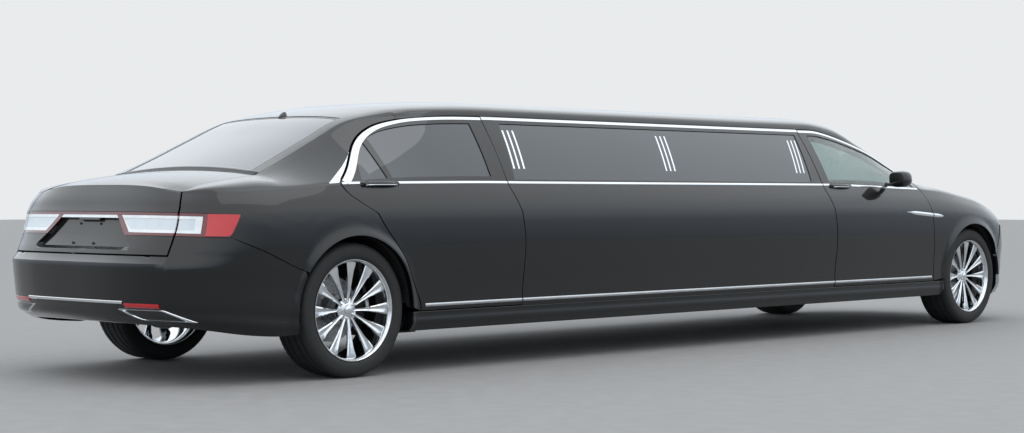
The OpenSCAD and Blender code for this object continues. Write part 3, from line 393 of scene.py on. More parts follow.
def shell(outer, inner, holes=(), lining=False):
    """A closed panel between two grids of points. Faces of the inner side get material 1 with lining."""
    nx, ny = len(outer), len(outer[0])
    bm = grid(nx, ny)
    gone = []
    for f in bm.faces:
        i, j = (int(c) for c in cell(f.calc_center_median(), nx, ny))
        if any(h[0] <= i < h[1] and h[2] <= j < h[3] for h in holes):
            gone.append(f)
    bmesh.ops.delete(bm, geom=gone, context="FACES")
    front = bm.verts[:]
    made = bmesh.ops.extrude_face_region(bm, geom=bm.faces[:], use_keep_orig=True)["geom"]
    back = [e for e in made if isinstance(e, bmesh.types.BMVert)]
    for f in made:
        if lining and isinstance(f, bmesh.types.BMFace):
            f.material_index = 1
    for verts, points in ((front, outer), (back, inner)):
        for v in verts:
            i, j = cell(v.co, nx, ny)
            v.co = points[round(i)][round(j)]
    bmesh.ops.recalc_face_normals(bm, faces=bm.faces[:])
    return bm


def turned(profile, steps=48, closed=True):
    """A profile of (radius, height) in millimetres, spun round Z."""
    bm = bmesh.new()
    verts = [bm.verts.new((r * MM, 0, z * MM)) for r, z in profile]
    ends = verts[1:] + (verts[:1] if closed else [])
    edges = [bm.edges.new(pair) for pair in zip(verts, ends)]
    bmesh.ops.spin(bm, geom=verts + edges, cent=(0, 0, 0), axis=(0, 0, 1), dvec=(0, 0, 0),
                   angle=2 * math.pi, steps=steps, use_merge=True, use_duplicate=False)
    bmesh.ops.remove_doubles(bm, verts=bm.verts[:], dist=1e-6)
    bmesh.ops.recalc_face_normals(bm, faces=bm.faces[:])
    return bm


def frames(points):
    """Place, way across and way out at each skin point of a path."""
    at = [skin(*p) for p in points]
    out = []
    for k, p in enumerate(points):
        n = outward(*p)
        t = (at[min(k + 1, len(at) - 1)] - at[max(k - 1, 0)]).normalized()
        out.append((at[k], t.cross(n).normalized(), n))
    return out


def sweep(stations, widths, proud, sink=4.0):
    """A crowned strip along stations, widths millimetres wide and proud millimetres high."""
    rows = []
    for (p, a, n), w in zip(stations, widths):
        h = proud * min(1, w / 9)
        section = ((-0.5, -sink), (-0.5, h * 0.45), (-0.36, h * 0.9), (0, h), (0.36, h * 0.9),
                   (0.5, h * 0.45), (0.5, -sink))
        rows.append([p + (a * (s * w) + n * o) * MM for s, o in section])
    return loft(rows)


def ring(centre, ax, ay, power=2.0, count=20):
    """A closed superellipse with half axes ax and ay."""
    out = []
    for k in range(count):
        a = 2 * math.pi * k / count
        c, s = math.cos(a), math.sin(a)
        out.append(centre + ax * math.copysign(abs(c) ** (2 / power), c)
                   + ay * math.copysign(abs(s) ** (2 / power), s))
    return out


def flipped(bm):
    bm = bm.copy()
    for v in bm.verts:
        v.co.y = -v.co.y
    bmesh.ops.reverse_faces(bm, faces=bm.faces[:])
    return bm


def joined(*parts):
    """Several meshes as one; each part is (mesh, material number) or a mesh that keeps its numbers."""
    out = bmesh.new()
    for part in parts:
        bm, number = part if isinstance(part, tuple) else (part, None)
        if number is not None:
            for f in bm.faces:
                f.material_index = number
        me = bpy.data.meshes.new("part")
        bm.to_mesh(me)
        bm.free()
        out.from_mesh(me)
        bpy.data.meshes.remove(me)
    return out


def piece(name, bm, materials, body, slot, replaces=(), angle=35, bevel=0.0):
    """A finished mesh as an object that rides a body and stands for CAD nodes."""
    me = bpy.data.meshes.new(name)
    bm.to_mesh(me)
    bm.free()
    for m in materials:
        me.materials.append(m)
    me.shade_smooth()
    me.set_sharp_from_angle(angle=math.radians(angle))
    ob = bpy.data.objects.new(name, me)
    bpy.context.scene.collection.objects.link(ob)
    if bevel:
        mod = ob.modifiers.new("edges", "BEVEL")
        mod.width, mod.segments, mod.limit_method = bevel * MM, 2, "ANGLE"
        mod.angle_limit = math.radians(50)
    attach(ob, body)
    if replaces:
        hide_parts(*replaces)
    return ob


def two(name, bm, materials, body, slot, replaces="", **more):
    """The left piece and its mirror image; {} in a name stands for the side."""
    other = flipped(bm)
    for side, mesh in (("left", bm), ("right", other)):
        nodes = [replaces.format(side)] if replaces else []
        piece(name.format(side), mesh, materials, body.format(side), slot, nodes, **more)


def both_ways(bm):
    """One mesh for both sides of the car."""
    return joined(flipped(bm), bm)


def panel(name, bm, node, lining=None, body="body", bevel=1.5):
    """A painted panel; its inner face takes material number 1, the lining."""
    make = two if "{}" in name else piece
    nodes = node if "{}" in name else [node]
    make(name, bm, [PAINT] + ([lining] if lining else []), body, "body_paint", nodes, bevel=bevel)


def bright(name, bm, body="body", material=None):
    """Bright trim on both sides; {} in its name makes a left and a right piece."""
    make, mesh = (two, bm) if "{}" in name else (piece, both_ways(bm))
    make(name, mesh, [material or CHROME], body, "bright_trim")


# ---------- finishes ----------

NOISE_BAND = (0.3, 0.7)  # where most of a noise pattern's values lie


def linear(code):
    """Linear colour for an sRGB hex code."""
    parts = [int(code[i:i + 2], 16) / 255 for i in (1, 3, 5)]
    return [c / 12.92 if c <= 0.04045 else ((c + 0.055) / 1.055) ** 2.4 for c in parts] + [1.0]


def add(tree, kind, sockets=None, **settings):
    """A shader node with its settings, values and links."""
    node = tree.nodes.new(kind)
    for key, value in settings.items():
        setattr(node, key, value)
    for key, value in (sockets or {}).items():
        if isinstance(value, bpy.types.NodeSocket):
            tree.links.new(value, node.inputs[key])
        else:
            node.inputs[key].default_value = value
    return node


def surface(name, color, **sockets):
    """A new material named for what it is made of, with its shader's constants."""
    mat = bpy.data.materials.new(name)
    mat.use_nodes = True
    shader = mat.node_tree.nodes["Principled BSDF"]
    shader.inputs["Base Color"].default_value = linear(color)
    for key, value in sockets.items():
        shader.inputs[key.replace("_", " ")].default_value = value
    return mat, mat.node_tree, shader


def mottled(made, size_mm, colors=None, rough=None, relief_mm=0.0, stretch=(1, 1, 1), detail=3.0):
    """Adds a noise pattern of that grain size: two colours, a span of roughness, a relief."""
    mat, tree, shader = made
    where = add(tree, "ShaderNodeTexCoord").outputs["Object"]
    turn = add(tree, "ShaderNodeMapping", {"Vector": where, "Scale": stretch}).outputs[0]
    noise = add(tree, "ShaderNodeTexNoise", {"Vector": turn, "Scale": 1000 / size_mm, "Detail": detail})
    fac = noise.outputs["Fac"]
    if colors:
        ramp = add(tree, "ShaderNodeValToRGB", {"Fac": fac})
        for stop, at, code in zip(ramp.color_ramp.elements, NOISE_BAND, colors):
            stop.position, stop.color = at, linear(code)
        tree.links.new(ramp.outputs["Color"], shader.inputs["Base Color"])
    if rough:
        span = add(tree, "ShaderNodeMapRange", {"Value": fac, "From Min": NOISE_BAND[0],
                                                "From Max": NOISE_BAND[1], "To Min": rough[0],
                                                "To Max": rough[1]})
        tree.links.new(span.outputs[0], shader.inputs["Roughness"])
    if relief_mm:
        bump = add(tree, "ShaderNodeBump", {"Distance": relief_mm * MM, "Height": fac})
        tree.links.new(bump.outputs[0], shader.inputs["Normal"])
    return mat


def ribbed(made, pitch_mm, relief_mm, direction="X", rough=None):
    """Adds parallel ribs at that pitch."""
    mat, tree, shader = made
    where = add(tree, "ShaderNodeTexCoord").outputs["Object"]
    wave = add(tree, "ShaderNodeTexWave", {"Vector": where, "Scale": 1000 / pitch_mm / 20},
               bands_direction=direction)
    bump = add(tree, "ShaderNodeBump", {"Distance": relief_mm * MM, "Height": wave.outputs["Fac"]})
    tree.links.new(bump.outputs[0], shader.inputs["Normal"])
    if rough:
        span = add(tree, "ShaderNodeMapRange", {"Value": wave.outputs["Fac"], "To Min": rough[0],
                                                "To Max": rough[1]})
        tree.links.new(span.outputs[0], shader.inputs["Roughness"])
    return mat


# two-stage enamel: black base coat with a fine flake under clear lacquer, its gloss a little uneven
PAINT = mottled(surface("black_base_coat_under_lacquer", "#050607", Coat_Weight=1.0, Coat_Roughness=0.02,
                        Coat_IOR=1.5, IOR=1.5, Specular_IOR_Level=0.1), 9, ("#040507", "#07080a"), (0.3, 0.4))
# plated trim: mirror bright, with faint polishing haze
CHROME = mottled(surface("chrome_plate", "#e4e7ea", Metallic=1.0), 30, None, (0.035, 0.09))
# anodised aluminium moulding, brushed along the car
SATIN = mottled(surface("brushed_anodised_aluminium", "#c3c6c9", Metallic=1.0), 3, ("#b5b8bb", "#cfd2d4"),
                (0.2, 0.34), stretch=(0.03, 1, 1))
# tempered glass under dark film, with a sharp reflection: the film itself is nearly black, and the blue grey
# of this colour is a painted reflection of the sky
PRIVACY = mottled(surface("tempered_glass_dark_film_painted_sky", "#1a2229", IOR=1.52, Coat_Weight=0.8,
                          Coat_Roughness=0.01), 600, ("#182028", "#1d262d"), (0.01, 0.03))
# the rear screen under the same sharp reflection of the sky; its colour, a little greyer than the side glass,
# is the dark film with a painted reflection of the sky
REAR_GLASS = mottled(surface("heated_rear_glass_dark_film_painted_sky", "#2c363d", IOR=1.52, Coat_Weight=0.75,
                             Coat_Roughness=0.01), 700, ("#28323a", "#303a42"), (0.01, 0.03))
# laminated windscreen glass: clear, faintly green, with almost no haze
CLEAR = mottled(surface("laminated_green_glass", "#cfe0da", IOR=1.5, Transmission_Weight=1.0), 900,
                ("#c6d8d1", "#d6e6e1"), (0.0, 0.01))
# injection moulded acrylic: fine ribs on the back break the red up
RED_LENS = ribbed(surface("red_acrylic_lens", "#d0141f", IOR=1.49, Coat_Weight=1.0, Coat_Roughness=0.02,
                          Roughness=0.25, Transmission_Weight=0.15), 5, 0.5, "Y")
# smoked acrylic surround: nearly black until light falls on it
DARK_RED = mottled(surface("smoked_red_acrylic", "#5e1016", IOR=1.49, Coat_Weight=1.0, Roughness=0.12),
                   40, ("#560d13", "#68131a"), (0.1, 0.16))
# clear ribbed lens over a bright reflector: soft silver bands
LAMP_CLEAR = ribbed(surface("clear_acrylic_over_reflector", "#c4cdd3", IOR=1.49, Metallic=0.35,
                            Coat_Weight=1.0, Coat_Roughness=0.02, Roughness=0.2), 14, 1.2, "Y", (0.1, 0.3))
# frosted light guide: an even milky white when unlit
LAMP_WHITE = mottled(surface("white_light_guide", "#e6eaec", IOR=1.49, Coat_Weight=1.0, Roughness=0.2),
                     60, ("#dde2e5", "#eef1f2"), (0.15, 0.25))
# hard-coated polycarbonate: water clear with a crisp highlight
LENS = mottled(surface("hard_coated_polycarbonate", "#e8edf0", IOR=1.58, Transmission_Weight=1.0), 500,
               ("#e2e8ec", "#eef2f4"), (0.0, 0.02))
# injection moulded trim with a spark-eroded grain: dull black with a broad sheen
PLASTIC = mottled(surface("grained_black_polypropylene", "#15171a", IOR=1.49), 1.6, ("#121416", "#1b1d20"),
                  (0.42, 0.62), 0.12)
# polished moulding of black ABS: deep black with a soft-edged reflection
GLOSS = mottled(surface("gloss_black_abs", "#090a0b", IOR=1.54, Coat_Weight=0.5, Coat_Roughness=0.03), 80,
                ("#08090a", "#0d0e10"), (0.1, 0.18))
# underbody steel, dip painted: dull black, browned in patches by road grime
STEEL = mottled(surface("chassis_black_steel", "#24262a", Metallic=0.2), 70, ("#1d1f22", "#35332f"),
                (0.5, 0.75), 0.3, detail=6)
# as-cast iron: rough grey with a fine sand texture
CAST = mottled(surface("sand_cast_iron", "#4c4d4f", Metallic=0.7), 3, ("#3e3f41", "#5b5a58"), (0.45, 0.65),
               0.35)
# aluminised pipe: pale grey metal, browned unevenly by heat
PIPE = mottled(surface("aluminised_exhaust_steel", "#8b8a86", Metallic=1.0), 90, ("#7d7a74", "#9b9a97"),
               (0.25, 0.45), detail=5)
# turned brake discs: bright grey under an uneven film of dust
DISC = mottled(surface("turned_grey_iron", "#8d8f91", Metallic=1.0), 14, ("#7c7e80", "#9fa1a3"), (0.25, 0.42))
# polished and plated cast alloy: mirror bright, slightly softer than the trim
WHEEL = mottled(surface("chrome_plated_alloy", "#dfe2e5", Metallic=1.0), 40, ("#d6d9dc", "#e6e9eb"),
                (0.05, 0.12))
# carbon-filled rubber, paler where it is scuffed and dusty
RUBBER = mottled(surface("tyre_rubber_compound", "#191a1b", IOR=1.52), 25, ("#151617", "#222323"),
                 (0.62, 0.82), 0.15, detail=5)
# finished upholstery hide: soft black with a fine pebble grain
HIDE = mottled(surface("black_upholstery_leather", "#1b1918", IOR=1.5, Sheen_Weight=0.08), 2.2,
               ("#171514", "#221f1d"), (0.38, 0.52), 0.25)
# lacquered walnut veneer: brown figure running along the cabinet under a gloss coat
WOOD = mottled(surface("lacquered_walnut", "#4a2c1a", Coat_Weight=0.8, Coat_Roughness=0.08), 26,
               ("#38200f", "#664024"), (0.3, 0.42), stretch=(0.12, 1, 1.6), detail=5)
# loop pile carpet, drawn as coarse as it needs to show: dark and without any shine
CARPET = mottled(surface("charcoal_loop_carpet", "#1c1c1e"), 4, ("#151517", "#27272a"), (0.85, 0.97), 1.2)
# silvered mirror glass: a clean cool reflection
MIRROR = mottled(surface("silvered_mirror_glass", "#dfe6e6", Metallic=1.0), 300, ("#d8e0e0", "#e4eaea"),
                 (0.01, 0.03))
# painted studio floor: pale grey, quite matt, faintly clouded
FLOOR = mottled(surface("matt_pale_floor", "#8f8e8d", Specular_IOR_Level=0.2), 120, ("#8b8a89", "#939291"),
                (0.75, 0.9), detail=6)


def refinish(material, *nodes):
    """Gives CAD nodes whose shape is right their real finish."""
    for n in nodes:
        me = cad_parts[n].data
        me.materials.clear()
        me.materials.append(material)


# ---------- painted panels ----------


def quarters():
    """Rear quarters: wheel arch, corner and pillar, with the lamp's place left open."""
    low = arc(0, 1, 148, 48)
    low += fine([low[-1], low_at(-420, 590), low_at(-600, 668), (LAMP_U, LAMP_V0), (-860, LAMP_V0),
                 (-920, LAMP_V0), ((-920 + TAIL_SEAM) / 2, LAMP_V0), (TAIL_SEAM, LAMP_V0)], 4)[1:]
    rows = [0.92, 1.3, 1.5, 1.7, 1.85, 2, 2.4, 2.8]
    mid = [(line(REAR, v) - GAP * 1.35, v) for v in fine(rows, 4)]
    ends = [(u, 2.94) for u in (-62, -150, -250, -330, -400, -480, -600, LAMP_U, -860, -920,
                                (-920 + TAIL_SEAM) / 2, TAIL_SEAM)]
    mid += fine([mid[-1]] + ends, 4)[1:]
    arcs = fine([560, 450, 352, 270, 190, 115, 40, -10], 4)
    belt = [(u - mix(0.5, 12, min(1, k / 3)), line(TOP, u) + 0.02) for k, u in enumerate(arcs)]
    belt += fine([belt[-1]] + [(u, 3) for u, _ in ends], 4)[1:]
    top = [(u - mix(6, 14, min(1, k / 3)), 4.0125) for k, u in enumerate(arcs)]
    top += fine([top[-1]] + [(u, 4.0125 if u > -420 else 4) for u, _ in ends], 4)[1:]
    lamp = (LAMP_V1 + 0.002 - LAMP_V0) / (2.94 - LAMP_V0)
    g = [a + b for a, b in zip(ruled(low, mid, fine([0, 0.1, lamp, 0.5, 0.75, 0.93, 1], 3)),
                               ruled(belt, top, fine([0, 0.35, 0.7, 1], 4)))]
    inner = [[(u + (WALL * 0.85 if i == len(g) - 1 else 0), v) for u, v in c] for i, c in enumerate(g)]
    bm = shell(face(g, 0), face(inner, WALL), [(60, 76, 0, 6), (0, 32, 18, 19)])
    panel("rear_quarter_skins", both_ways(bm), "quarter_panels")


SIDE_V = [0.8552, 0.9, 1.3, 1.7, 2, 2.4, 2.8, 2.95, 3.05, 3.3, 3.6, 3.88, 3.986]
PANE_SIDE, PANE_FOOT = (1306, 4172), (1240, 4108)


def pane_ends(v):
    f = clamp((v - 3) / 0.97)
    return mix(PANE_FOOT[0], PANE_SIDE[0], f), mix(PANE_FOOT[1], PANE_SIDE[1], f)


def centre_sides():
    """The long sides of the stretch and their one-piece glass."""
    cols = [[] for _ in range(41)]
    for v in fine(SIDE_V, 3):
        a, b = line(PILLAR, v) + GAP / 2, line(PILLAR, v) + STRETCH - GAP / 2
        p, q = pane_ends(v)
        keys = fine([a, max(a + 40, p)], 2)[:-1] + fine([max(a + 40, p), min(b - 40, q)], 36)[:-1]
        for c, u in zip(cols, keys + fine([min(b - 40, q), b], 2)):
            c.append((u, v))
    inner = [[sunk(p, deep(p[1]) - 0.3) for p in c] for c in cols]
    bm = shell(face(cols, 0), inner, [(2, 38, 24, 33)], lining=True)
    panel("centre_side_skins", both_ways(bm), "centre_panels", PLASTIC)
    glass = []
    for k in range(37):
        col = []
        for v in fine([3.052, 3.3, 3.6, 3.878], 4):
            p, q = pane_ends(v)
            col.append((mix(p + 0.6, q - 0.6, k / 36), v))
        glass.append(col)
    bm = shell(face(glass, 5), face(glass, 11))
    piece("centre_window_glass", both_ways(bm), [PRIVACY], "body", "tinted_glass", ["centre_windows"])


PANE_V = 4.13
ROOF_U = ([-392, -300, -180, -60, 60, 170, 262, 400, 556, 562, 900, 1240]
          + [u + STRETCH for u in (1240, 1500, 1740, 1880, 2020, 2160, 2300, 2366, 2480, 2620, 2690)])


def roof_side(U):
    return line(TOP, base_u(U)) + 0.018 if U > 560 else 4.014


def roof():
    """The roof with the front pillars, open for windscreen and rear window."""
    keys = fine(ROOF_U, 3)
    half = []
    for k in range(len(keys)):
        i, t = divmod(k, 3)
        edge = mix(roof_side(ROOF_U[i]), roof_side(ROOF_U[min(i + 1, len(ROOF_U) - 1)]), t / 3)
        half.append([(keys[k], v) for v in fine([edge, 4.03, PANE_V, 4.3, 4.55, 4.8, 5], 3)])
    g = [c + [(u, 10 - v) for u, v in c[-2::-1]] for c in half]
    holes = [(0, 18, 6, 30), (42, 66, 6, 30)]
    bm = shell(face(g, 0), face(g, FRAME_DEEP * 0.8), holes, lining=True)
    panel("roof_skin", bm, "roof", CARPET)


def screen(name, i0, i1, material, node):
    """A screen of curved glass in the roof's opening, with the black seal round it."""
    vs = fine([PANE_V + 0.002, 4.3, 4.55, 4.8, 5, 5.2, 5.45, 5.7, 10 - PANE_V - 0.002], 4)
    us = fine(ROOF_U[i0:i1 + 1], 3)
    us[0], us[-1] = us[0] + 0.4, us[-1] - 0.4
    g = [[(u, v) for v in vs] for u in us]
    piece(name, shell(face(g, 4), face(g, 16)), [material], "body", "tinted_glass", [node])
    edge = [(us[0] + 9, v) for v in vs] + [(u, vs[-1] - 0.012) for u in us[1:-1]]
    edge += [(us[-1] - 9, v) for v in vs[::-1]] + [(u, vs[0] + 0.012) for u in us[-2:0:-1]]
    seal = sweep([(sunk(p, 4), a, n) for p, (_, a, n) in zip(edge + edge[:1], frames(edge + edge[:1]))],
                 [18] * (len(edge) + 1), 1.6, 1.0)
    piece(name + "_seal", seal, [GLOSS], "body", "black_plastic")


def fenders():
    """Front fenders: wheel arch, shoulder and the headlamps' upper edge."""
    low = arc(BASE_WB, 179, 24, 48)
    low += fine([low[-1], low_at(3420, 600), (3480, HEAD_V0), (3600, HEAD_V0), (3700, HEAD_V0),
                 (NOSE_SEAM, HEAD_V0)], 4)[1:]
    mid = [(line(FRONT, v) + GAP, v) for v in fine([0.92, 1.3, 1.7, 2, 2.4], 4)]
    ends = [(u, 2.96) for u in (line(FRONT, 2.96) + GAP, 2480, 2620, 2760, 2880, 3000, 3120, 3260, 3420,
                                3480, 3600, 3700, NOSE_SEAM)]
    mid += fine([mid[-1]] + ends, 4)[1:]
    belt = fine([(u, 3) for u, _ in ends], 4)
    top = fine([(u, 3.97) for u, _ in ends], 4)
    belt = [(belt[0][0] - (20 - k) * 2, 3) for k in range(20)] + belt
    top = [(top[0][0] - (20 - k) * 2, 3.97) for k in range(20)] + top
    g = [fore(a) + fore(b) for a, b in zip(ruled(low, mid, fine([0, 0.12, 0.3, 0.55, 0.8, 1], 3)),
                                           ruled(belt, top, fine([0, 0.4, 0.75, 1], 4)))]
    bm = shell(face(g, 0), face(g, WALL), [(56, 68, 0, 12), (0, 20, 15, 28)])
    panel("front_fender_skins", both_ways(bm), "front_fenders")


def rear_bumper():
    """One skin round the tail, from wheel arch to wheel arch."""
    low = fine(arc(0, 152, 196, 16), 1) + fine([arc(0, 196, 196, 1)[0], (-470, 0), (-620, 0), (-760, 0)]
                                              + [(tail_col(q), 0) for q in (0.8, 0.7, 0.4, 0.2, 0)], 4)[1:]
    high = fine([low_at(-350, 559), low_at(-385, 572), low_at(-420, 586), low_at(-510, 624),
                 low_at(-600, 663), low_at(-700, 698), (LAMP_U, LAMP_V0 - 0.003), (-920, LAMP_V0 - 0.003),
                 (TAIL_SEAM, LAMP_V0 - 0.003), (TAIL_SEAM - 1, BUMP_V)]
                + [(tail_col(q), BUMP_V) for q in (0.4, 0.2, 0)], 4)
    g = across(ruled(low, high, fine([0, 0.2, 0.45, 0.75, 0.9, 1], 4)))
    panel("rear_bumper_skin", shell(face(g, 0), face(g, WALL * 0.8)), "rear_bumper")


def front_bumper():
    """One skin round the nose, open behind the grille."""
    low = arc(BASE_WB, 20, -22, 16) + fine([arc(BASE_WB, -22, -22, 1)[0], (3480, 0), (3600, 0)]
                                           + [(nose_col(q), 0) for q in (0.8, 0.65, 0.4, 0.2, 0)], 4)[1:]
    high = fine([low_at(3372, 530), low_at(3396, 553), low_at(3420, 580), low_at(3444, 610),
                 low_at(3468, 640), (3520, HEAD_V0 - 0.003), (3640, HEAD_V0 - 0.003)]
                + [(nose_col(q), HEAD_V0 - 0.003) for q in (0.8, 0.65, 0.4, 0.2, 0)], 4)
    g = across(ruled(fore(low), fore(high), fine([0, 0.12, 0.3, 0.55, 0.8, 1], 4)))
    panel("front_bumper_skin", shell(face(g, 0), face(g, WALL * 0.8), [(36, 52, 8, 20)]), "front_bumper")


def sills():
    """Painted covers along the foot of the body."""
    us = fine([ARCH_R + 8, 480, 900, CUT, CUT + STRETCH, STRETCH + 1900, STRETCH + 2300, STRETCH + 2520,
               STRETCH + BASE_WB - ARCH_R - 8], 6)
    g = [[(u, v) for v in fine([0, 0.35, 0.6, DOOR_LOW - GV], 5)] for u in us]
    panel("sill_skins", both_ways(shell(face(g, 0), face(g, 60))), "sill_covers", bevel=3)


# ---------- doors ----------

REAR_V = [DOOR_LOW, 1.3, 1.7, 2, 2.4, 2.8, 2.95, 3]
REAR_AT = fine([-58, 90, 286, 322, 560, 800, 1060, 1173], 5)
REAR_UP = fine([40, 170, 250, 292, 560, 800, 1066, 1170], 5)


def rear_door():
    """Columns of (U, v) over the rear door, round under its arched top."""
    g = []
    for at, up in zip(REAR_AT, REAR_UP):
        f = (at + 58) / 1231
        col = [(mix(line(REAR, v), line(PILLAR, v) - GAP / 2, f), v) for v in fine(REAR_V, 4)]
        tip = (up, line(TOP, up))
        col += [(mix(at, tip[0], k), mix(3, tip[1], k)) for k in fine([0, 0.09, 0.35, 0.62, 0.9, 1], 4)[1:]]
        g.append(col)
    return g


def front_door():
    """Columns of (U, v) over the front door."""
    cols = [[] for _ in range(29)]
    for v in fine([DOOR_LOW, 1.3, 1.7, 2, 2.4, 2.8, 2.95, 3.05, 3.3, 3.6, 3.88, DOOR_HIGH], 4):
        a, b = line(PILLAR, v) + GAP / 2, line(FRONT, v)
        q = min(b - 60, 2300)
        keys = fine([a, 1262], 2)[:-1] + fine([1262, q], 24)[:-1] + fine([q, b], 2)
        for c, u in zip(cols, keys):
            c.append((u + STRETCH, v))
    return cols


def door(g, holes):
    """A door: painted skin, lining, and holes for its glass."""
    inner = [[sunk(p, deep(p[1])) for p in c] for c in shrink(g, 15, 0.02)]
    return shell(face(g, 0), inner, holes, lining=True)


def pane(g, i0, i1, j0, j1):
    """Glass for one hole of a door."""
    n = [[(g[i][j][0] + (0.6 if i == i0 else -0.6 if i == i1 else 0),
           g[i][j][1] + (0.002 if j == j0 else -0.002 if j == j1 else 0)) for j in range(j0, j1 + 1)]
         for i in range(i0, i1 + 1)]
    return shell(face(n, 5), face(n, 11))


def doors():
    g = rear_door()
    panel("rear_door_shell_{}", door(g, [(5, 10, 32, 44), (15, 30, 32, 44)]), "rear_door_{}", PLASTIC,
          "rear_door_{}")
    two("rear_door_panes_{}", joined(pane(g, 5, 10, 32, 44), pane(g, 15, 30, 32, 44)), [PRIVACY],
        "rear_door_{}", "tinted_glass", "rear_door_glass_{}")
    g = front_door()
    panel("front_door_shell_{}", door(g, [(2, 26, 28, 40)]), "front_door_{}", PLASTIC, "front_door_{}")
    two("front_door_pane_{}", pane(g, 2, 26, 28, 40), [CLEAR], "front_door_{}", "tinted_glass",
        "front_door_glass_{}")


# ---------- hood and trunk lid ----------

HOOD_BACK, LID_FRONT = 2762, -440


def station(x):
    """The column whose belt point lies at x."""
    w = x
    for _ in range(12):
        w += x - place(w, 3)
    return w


def deck_point(u, x0, s, dx):
    x = mix(x0, place(u, 3), s)
    w = station(x)
    q = min(1, side_y(u, 3) / (rail_y(u) - GAP))
    z = crown_z(w, q * 0.999) - (crown_z(u, q * 0.999) - sill_z(u)) * s ** 3
    return Vector((X_REAR + dx + x, q * (rail_y(w) - GAP), z)) * MM


def across_points(g):
    return g + [[Vector((p.x, -p.y, p.z)) for p in c] for c in g[-2::-1]]


BORDER = 0.335


def lamp_end(v):
    """Where the rear lamps end beside the number plate's place, slanting out towards their foot."""
    return mix(0.262, 0.45, clamp((1.93 - v) / 0.3)) if v < 2 else mix(0.262, BORDER, clamp((v - 2) / 0.4))


def lid_column(q, v, end):
    """Moves the columns of the lid so that one of them follows lamp_end."""
    e = lamp_end(v)
    return q * e / BORDER if q <= BORDER else e + (q - BORDER) * (end - e) / (end - BORDER)


LID_BACK = (2.9, 2.75, 2.6, 2.45, 2.3, 2.15, 2.05, LAMP_V1 + 0.002, LAMP_V1, 1.96, 1.93, 1.88, 1.83, 1.79,
            LAMP_V0, LAMP_V0 - 0.002, 1.69, 1.64, 1.61, 1.58, BUMP_V + 0.018)


def lid_depth(q, v):
    """How far the lid is let in for its lamps and for the number plate."""
    bar = LAMP_V0 <= v <= LAMP_V1
    if q > BORDER:
        return 22 if bar else 0
    if v >= 1.95:
        return 22 if bar else 0
    plate = 24 if v > 1.605 else 0
    return plate if q < BORDER - 0.01 else 10 if bar else 0


def lid():
    """The trunk lid: its deck, and its rear face let in for lamps and number plate."""
    q_end = corner(LID_SEAM)
    qs = [q_end, 0.62, 0.58, 0.54, 0.5, 0.46, 0.42, 0.38, 0.345, BORDER, 0.318, 0.28, 0.24, 0.2, 0.15, 0.1,
          0.05, 0]
    deck_s = fine([0, 0.15, 0.35, 0.55, 0.75, 0.9, 1], 4)
    m = len(deck_s) - 1
    rows, inner = [], []
    for k, q in enumerate(qs):
        u = LID_SEAM if k == 0 else tail_col(q)
        front = [deck_point(u, LID_FRONT, s, 0) for s in deck_s]
        plain = []
        for v in LID_BACK:
            w = q if k == 0 else lid_column(q, v, q_end) if v < 2.4 else q
            plain.append(skin(LID_SEAM if k == 0 else tail_col(w), v))
        rear = [p + Vector((lid_depth(q, v) * MM, 0, 0)) for p, v in zip(plain, LID_BACK)]
        rows.append(front + rear)
        shift = Vector((0, -4 * MM if k == 0 else 0, 0))
        under = [p + shift + Vector(((0 if j < m else WALL) - (4 if j == 0 else 0), 0, -WALL)) * MM
                 for j, p in enumerate(front)]
        under += [p + shift + Vector((WALL, 0, 6 if j == len(plain) - 1 else 0)) * MM
                  for j, p in enumerate(plain)]
        inner.append(under)
    bm = shell(across_points(rows), across_points(inner), lining=True)
    panel("trunk_lid_shell", bm, "trunk_lid", PLASTIC, "trunk_lid", 1.0)


def hood():
    """The hood, from the windscreen's foot down to the grille."""
    q_end = corner(HOOD_SEAM)
    deck_s = fine([0, 0.12, 0.3, 0.5, 0.7, 0.85, 0.95, 1], 4)
    rows, inner = [], []
    for k in range(25):
        u = HOOD_SEAM if k == 0 else nose_col(q_end * (1 - k / 24))
        col = [deck_point(u, HOOD_BACK, s, STRETCH) for s in deck_s]
        col += [skin(u + STRETCH, v) for v in (2.94, 2.87, HEAD_V1 + GV * 0.8)]
        rows.append(col)
        shift = Vector((0, -5 * MM if k == 0 else 0, 0))
        m = len(deck_s) - 1
        inner.append([p + shift + Vector(((5 if j == 0 else 0) - (WALL if j >= m else 0), 0,
                                          -WALL if j <= m else 0)) * MM for j, p in enumerate(col)])
    bm = shell(across_points(rows), across_points(inner), lining=True)
    panel("hood_shell", bm, "hood", PLASTIC, "hood")


# ---------- lamps and grille ----------

LAMP_LO, LAMP_HI = LAMP_V0 + 0.002, LAMP_V1 - 0.002
# lower and upper edges of the white loop's two bars
LOOP = (LAMP_LO + 0.03, LAMP_LO + 0.062, LAMP_HI - 0.064, LAMP_HI - 0.032)


def strip_between(low, high, n, rows, t0, t1, to_point=sunk):
    """A closed slab over the skin between two lines of (U, v)."""
    a, b = fine(low, n), fine(high, n)
    g = ruled(a, b, [k / rows for k in range(rows + 1)])
    return shell([[to_point(p, t0) for p in c] for c in g], [[to_point(p, t1) for p in c] for c in g])


def slab(u0, u1, v0, v1, n, rows, t0, t1, to_point=sunk):
    """A closed block over the skin between two columns and two heights."""
    return strip_between([(u0, v0), (u1, v0)], [(u0, v1), (u1, v1)], n, rows, t0, t1, to_point)


def lid_at(p, t):
    """A point over the trunk lid: (q, v), taken t millimetres forward."""
    q, v = p
    u = LID_SEAM if q >= corner(LID_SEAM) else tail_col(abs(q))
    s = skin(u, v)
    return Vector((s.x + t * MM, math.copysign(s.y, q) if q else 0.0, s.z))


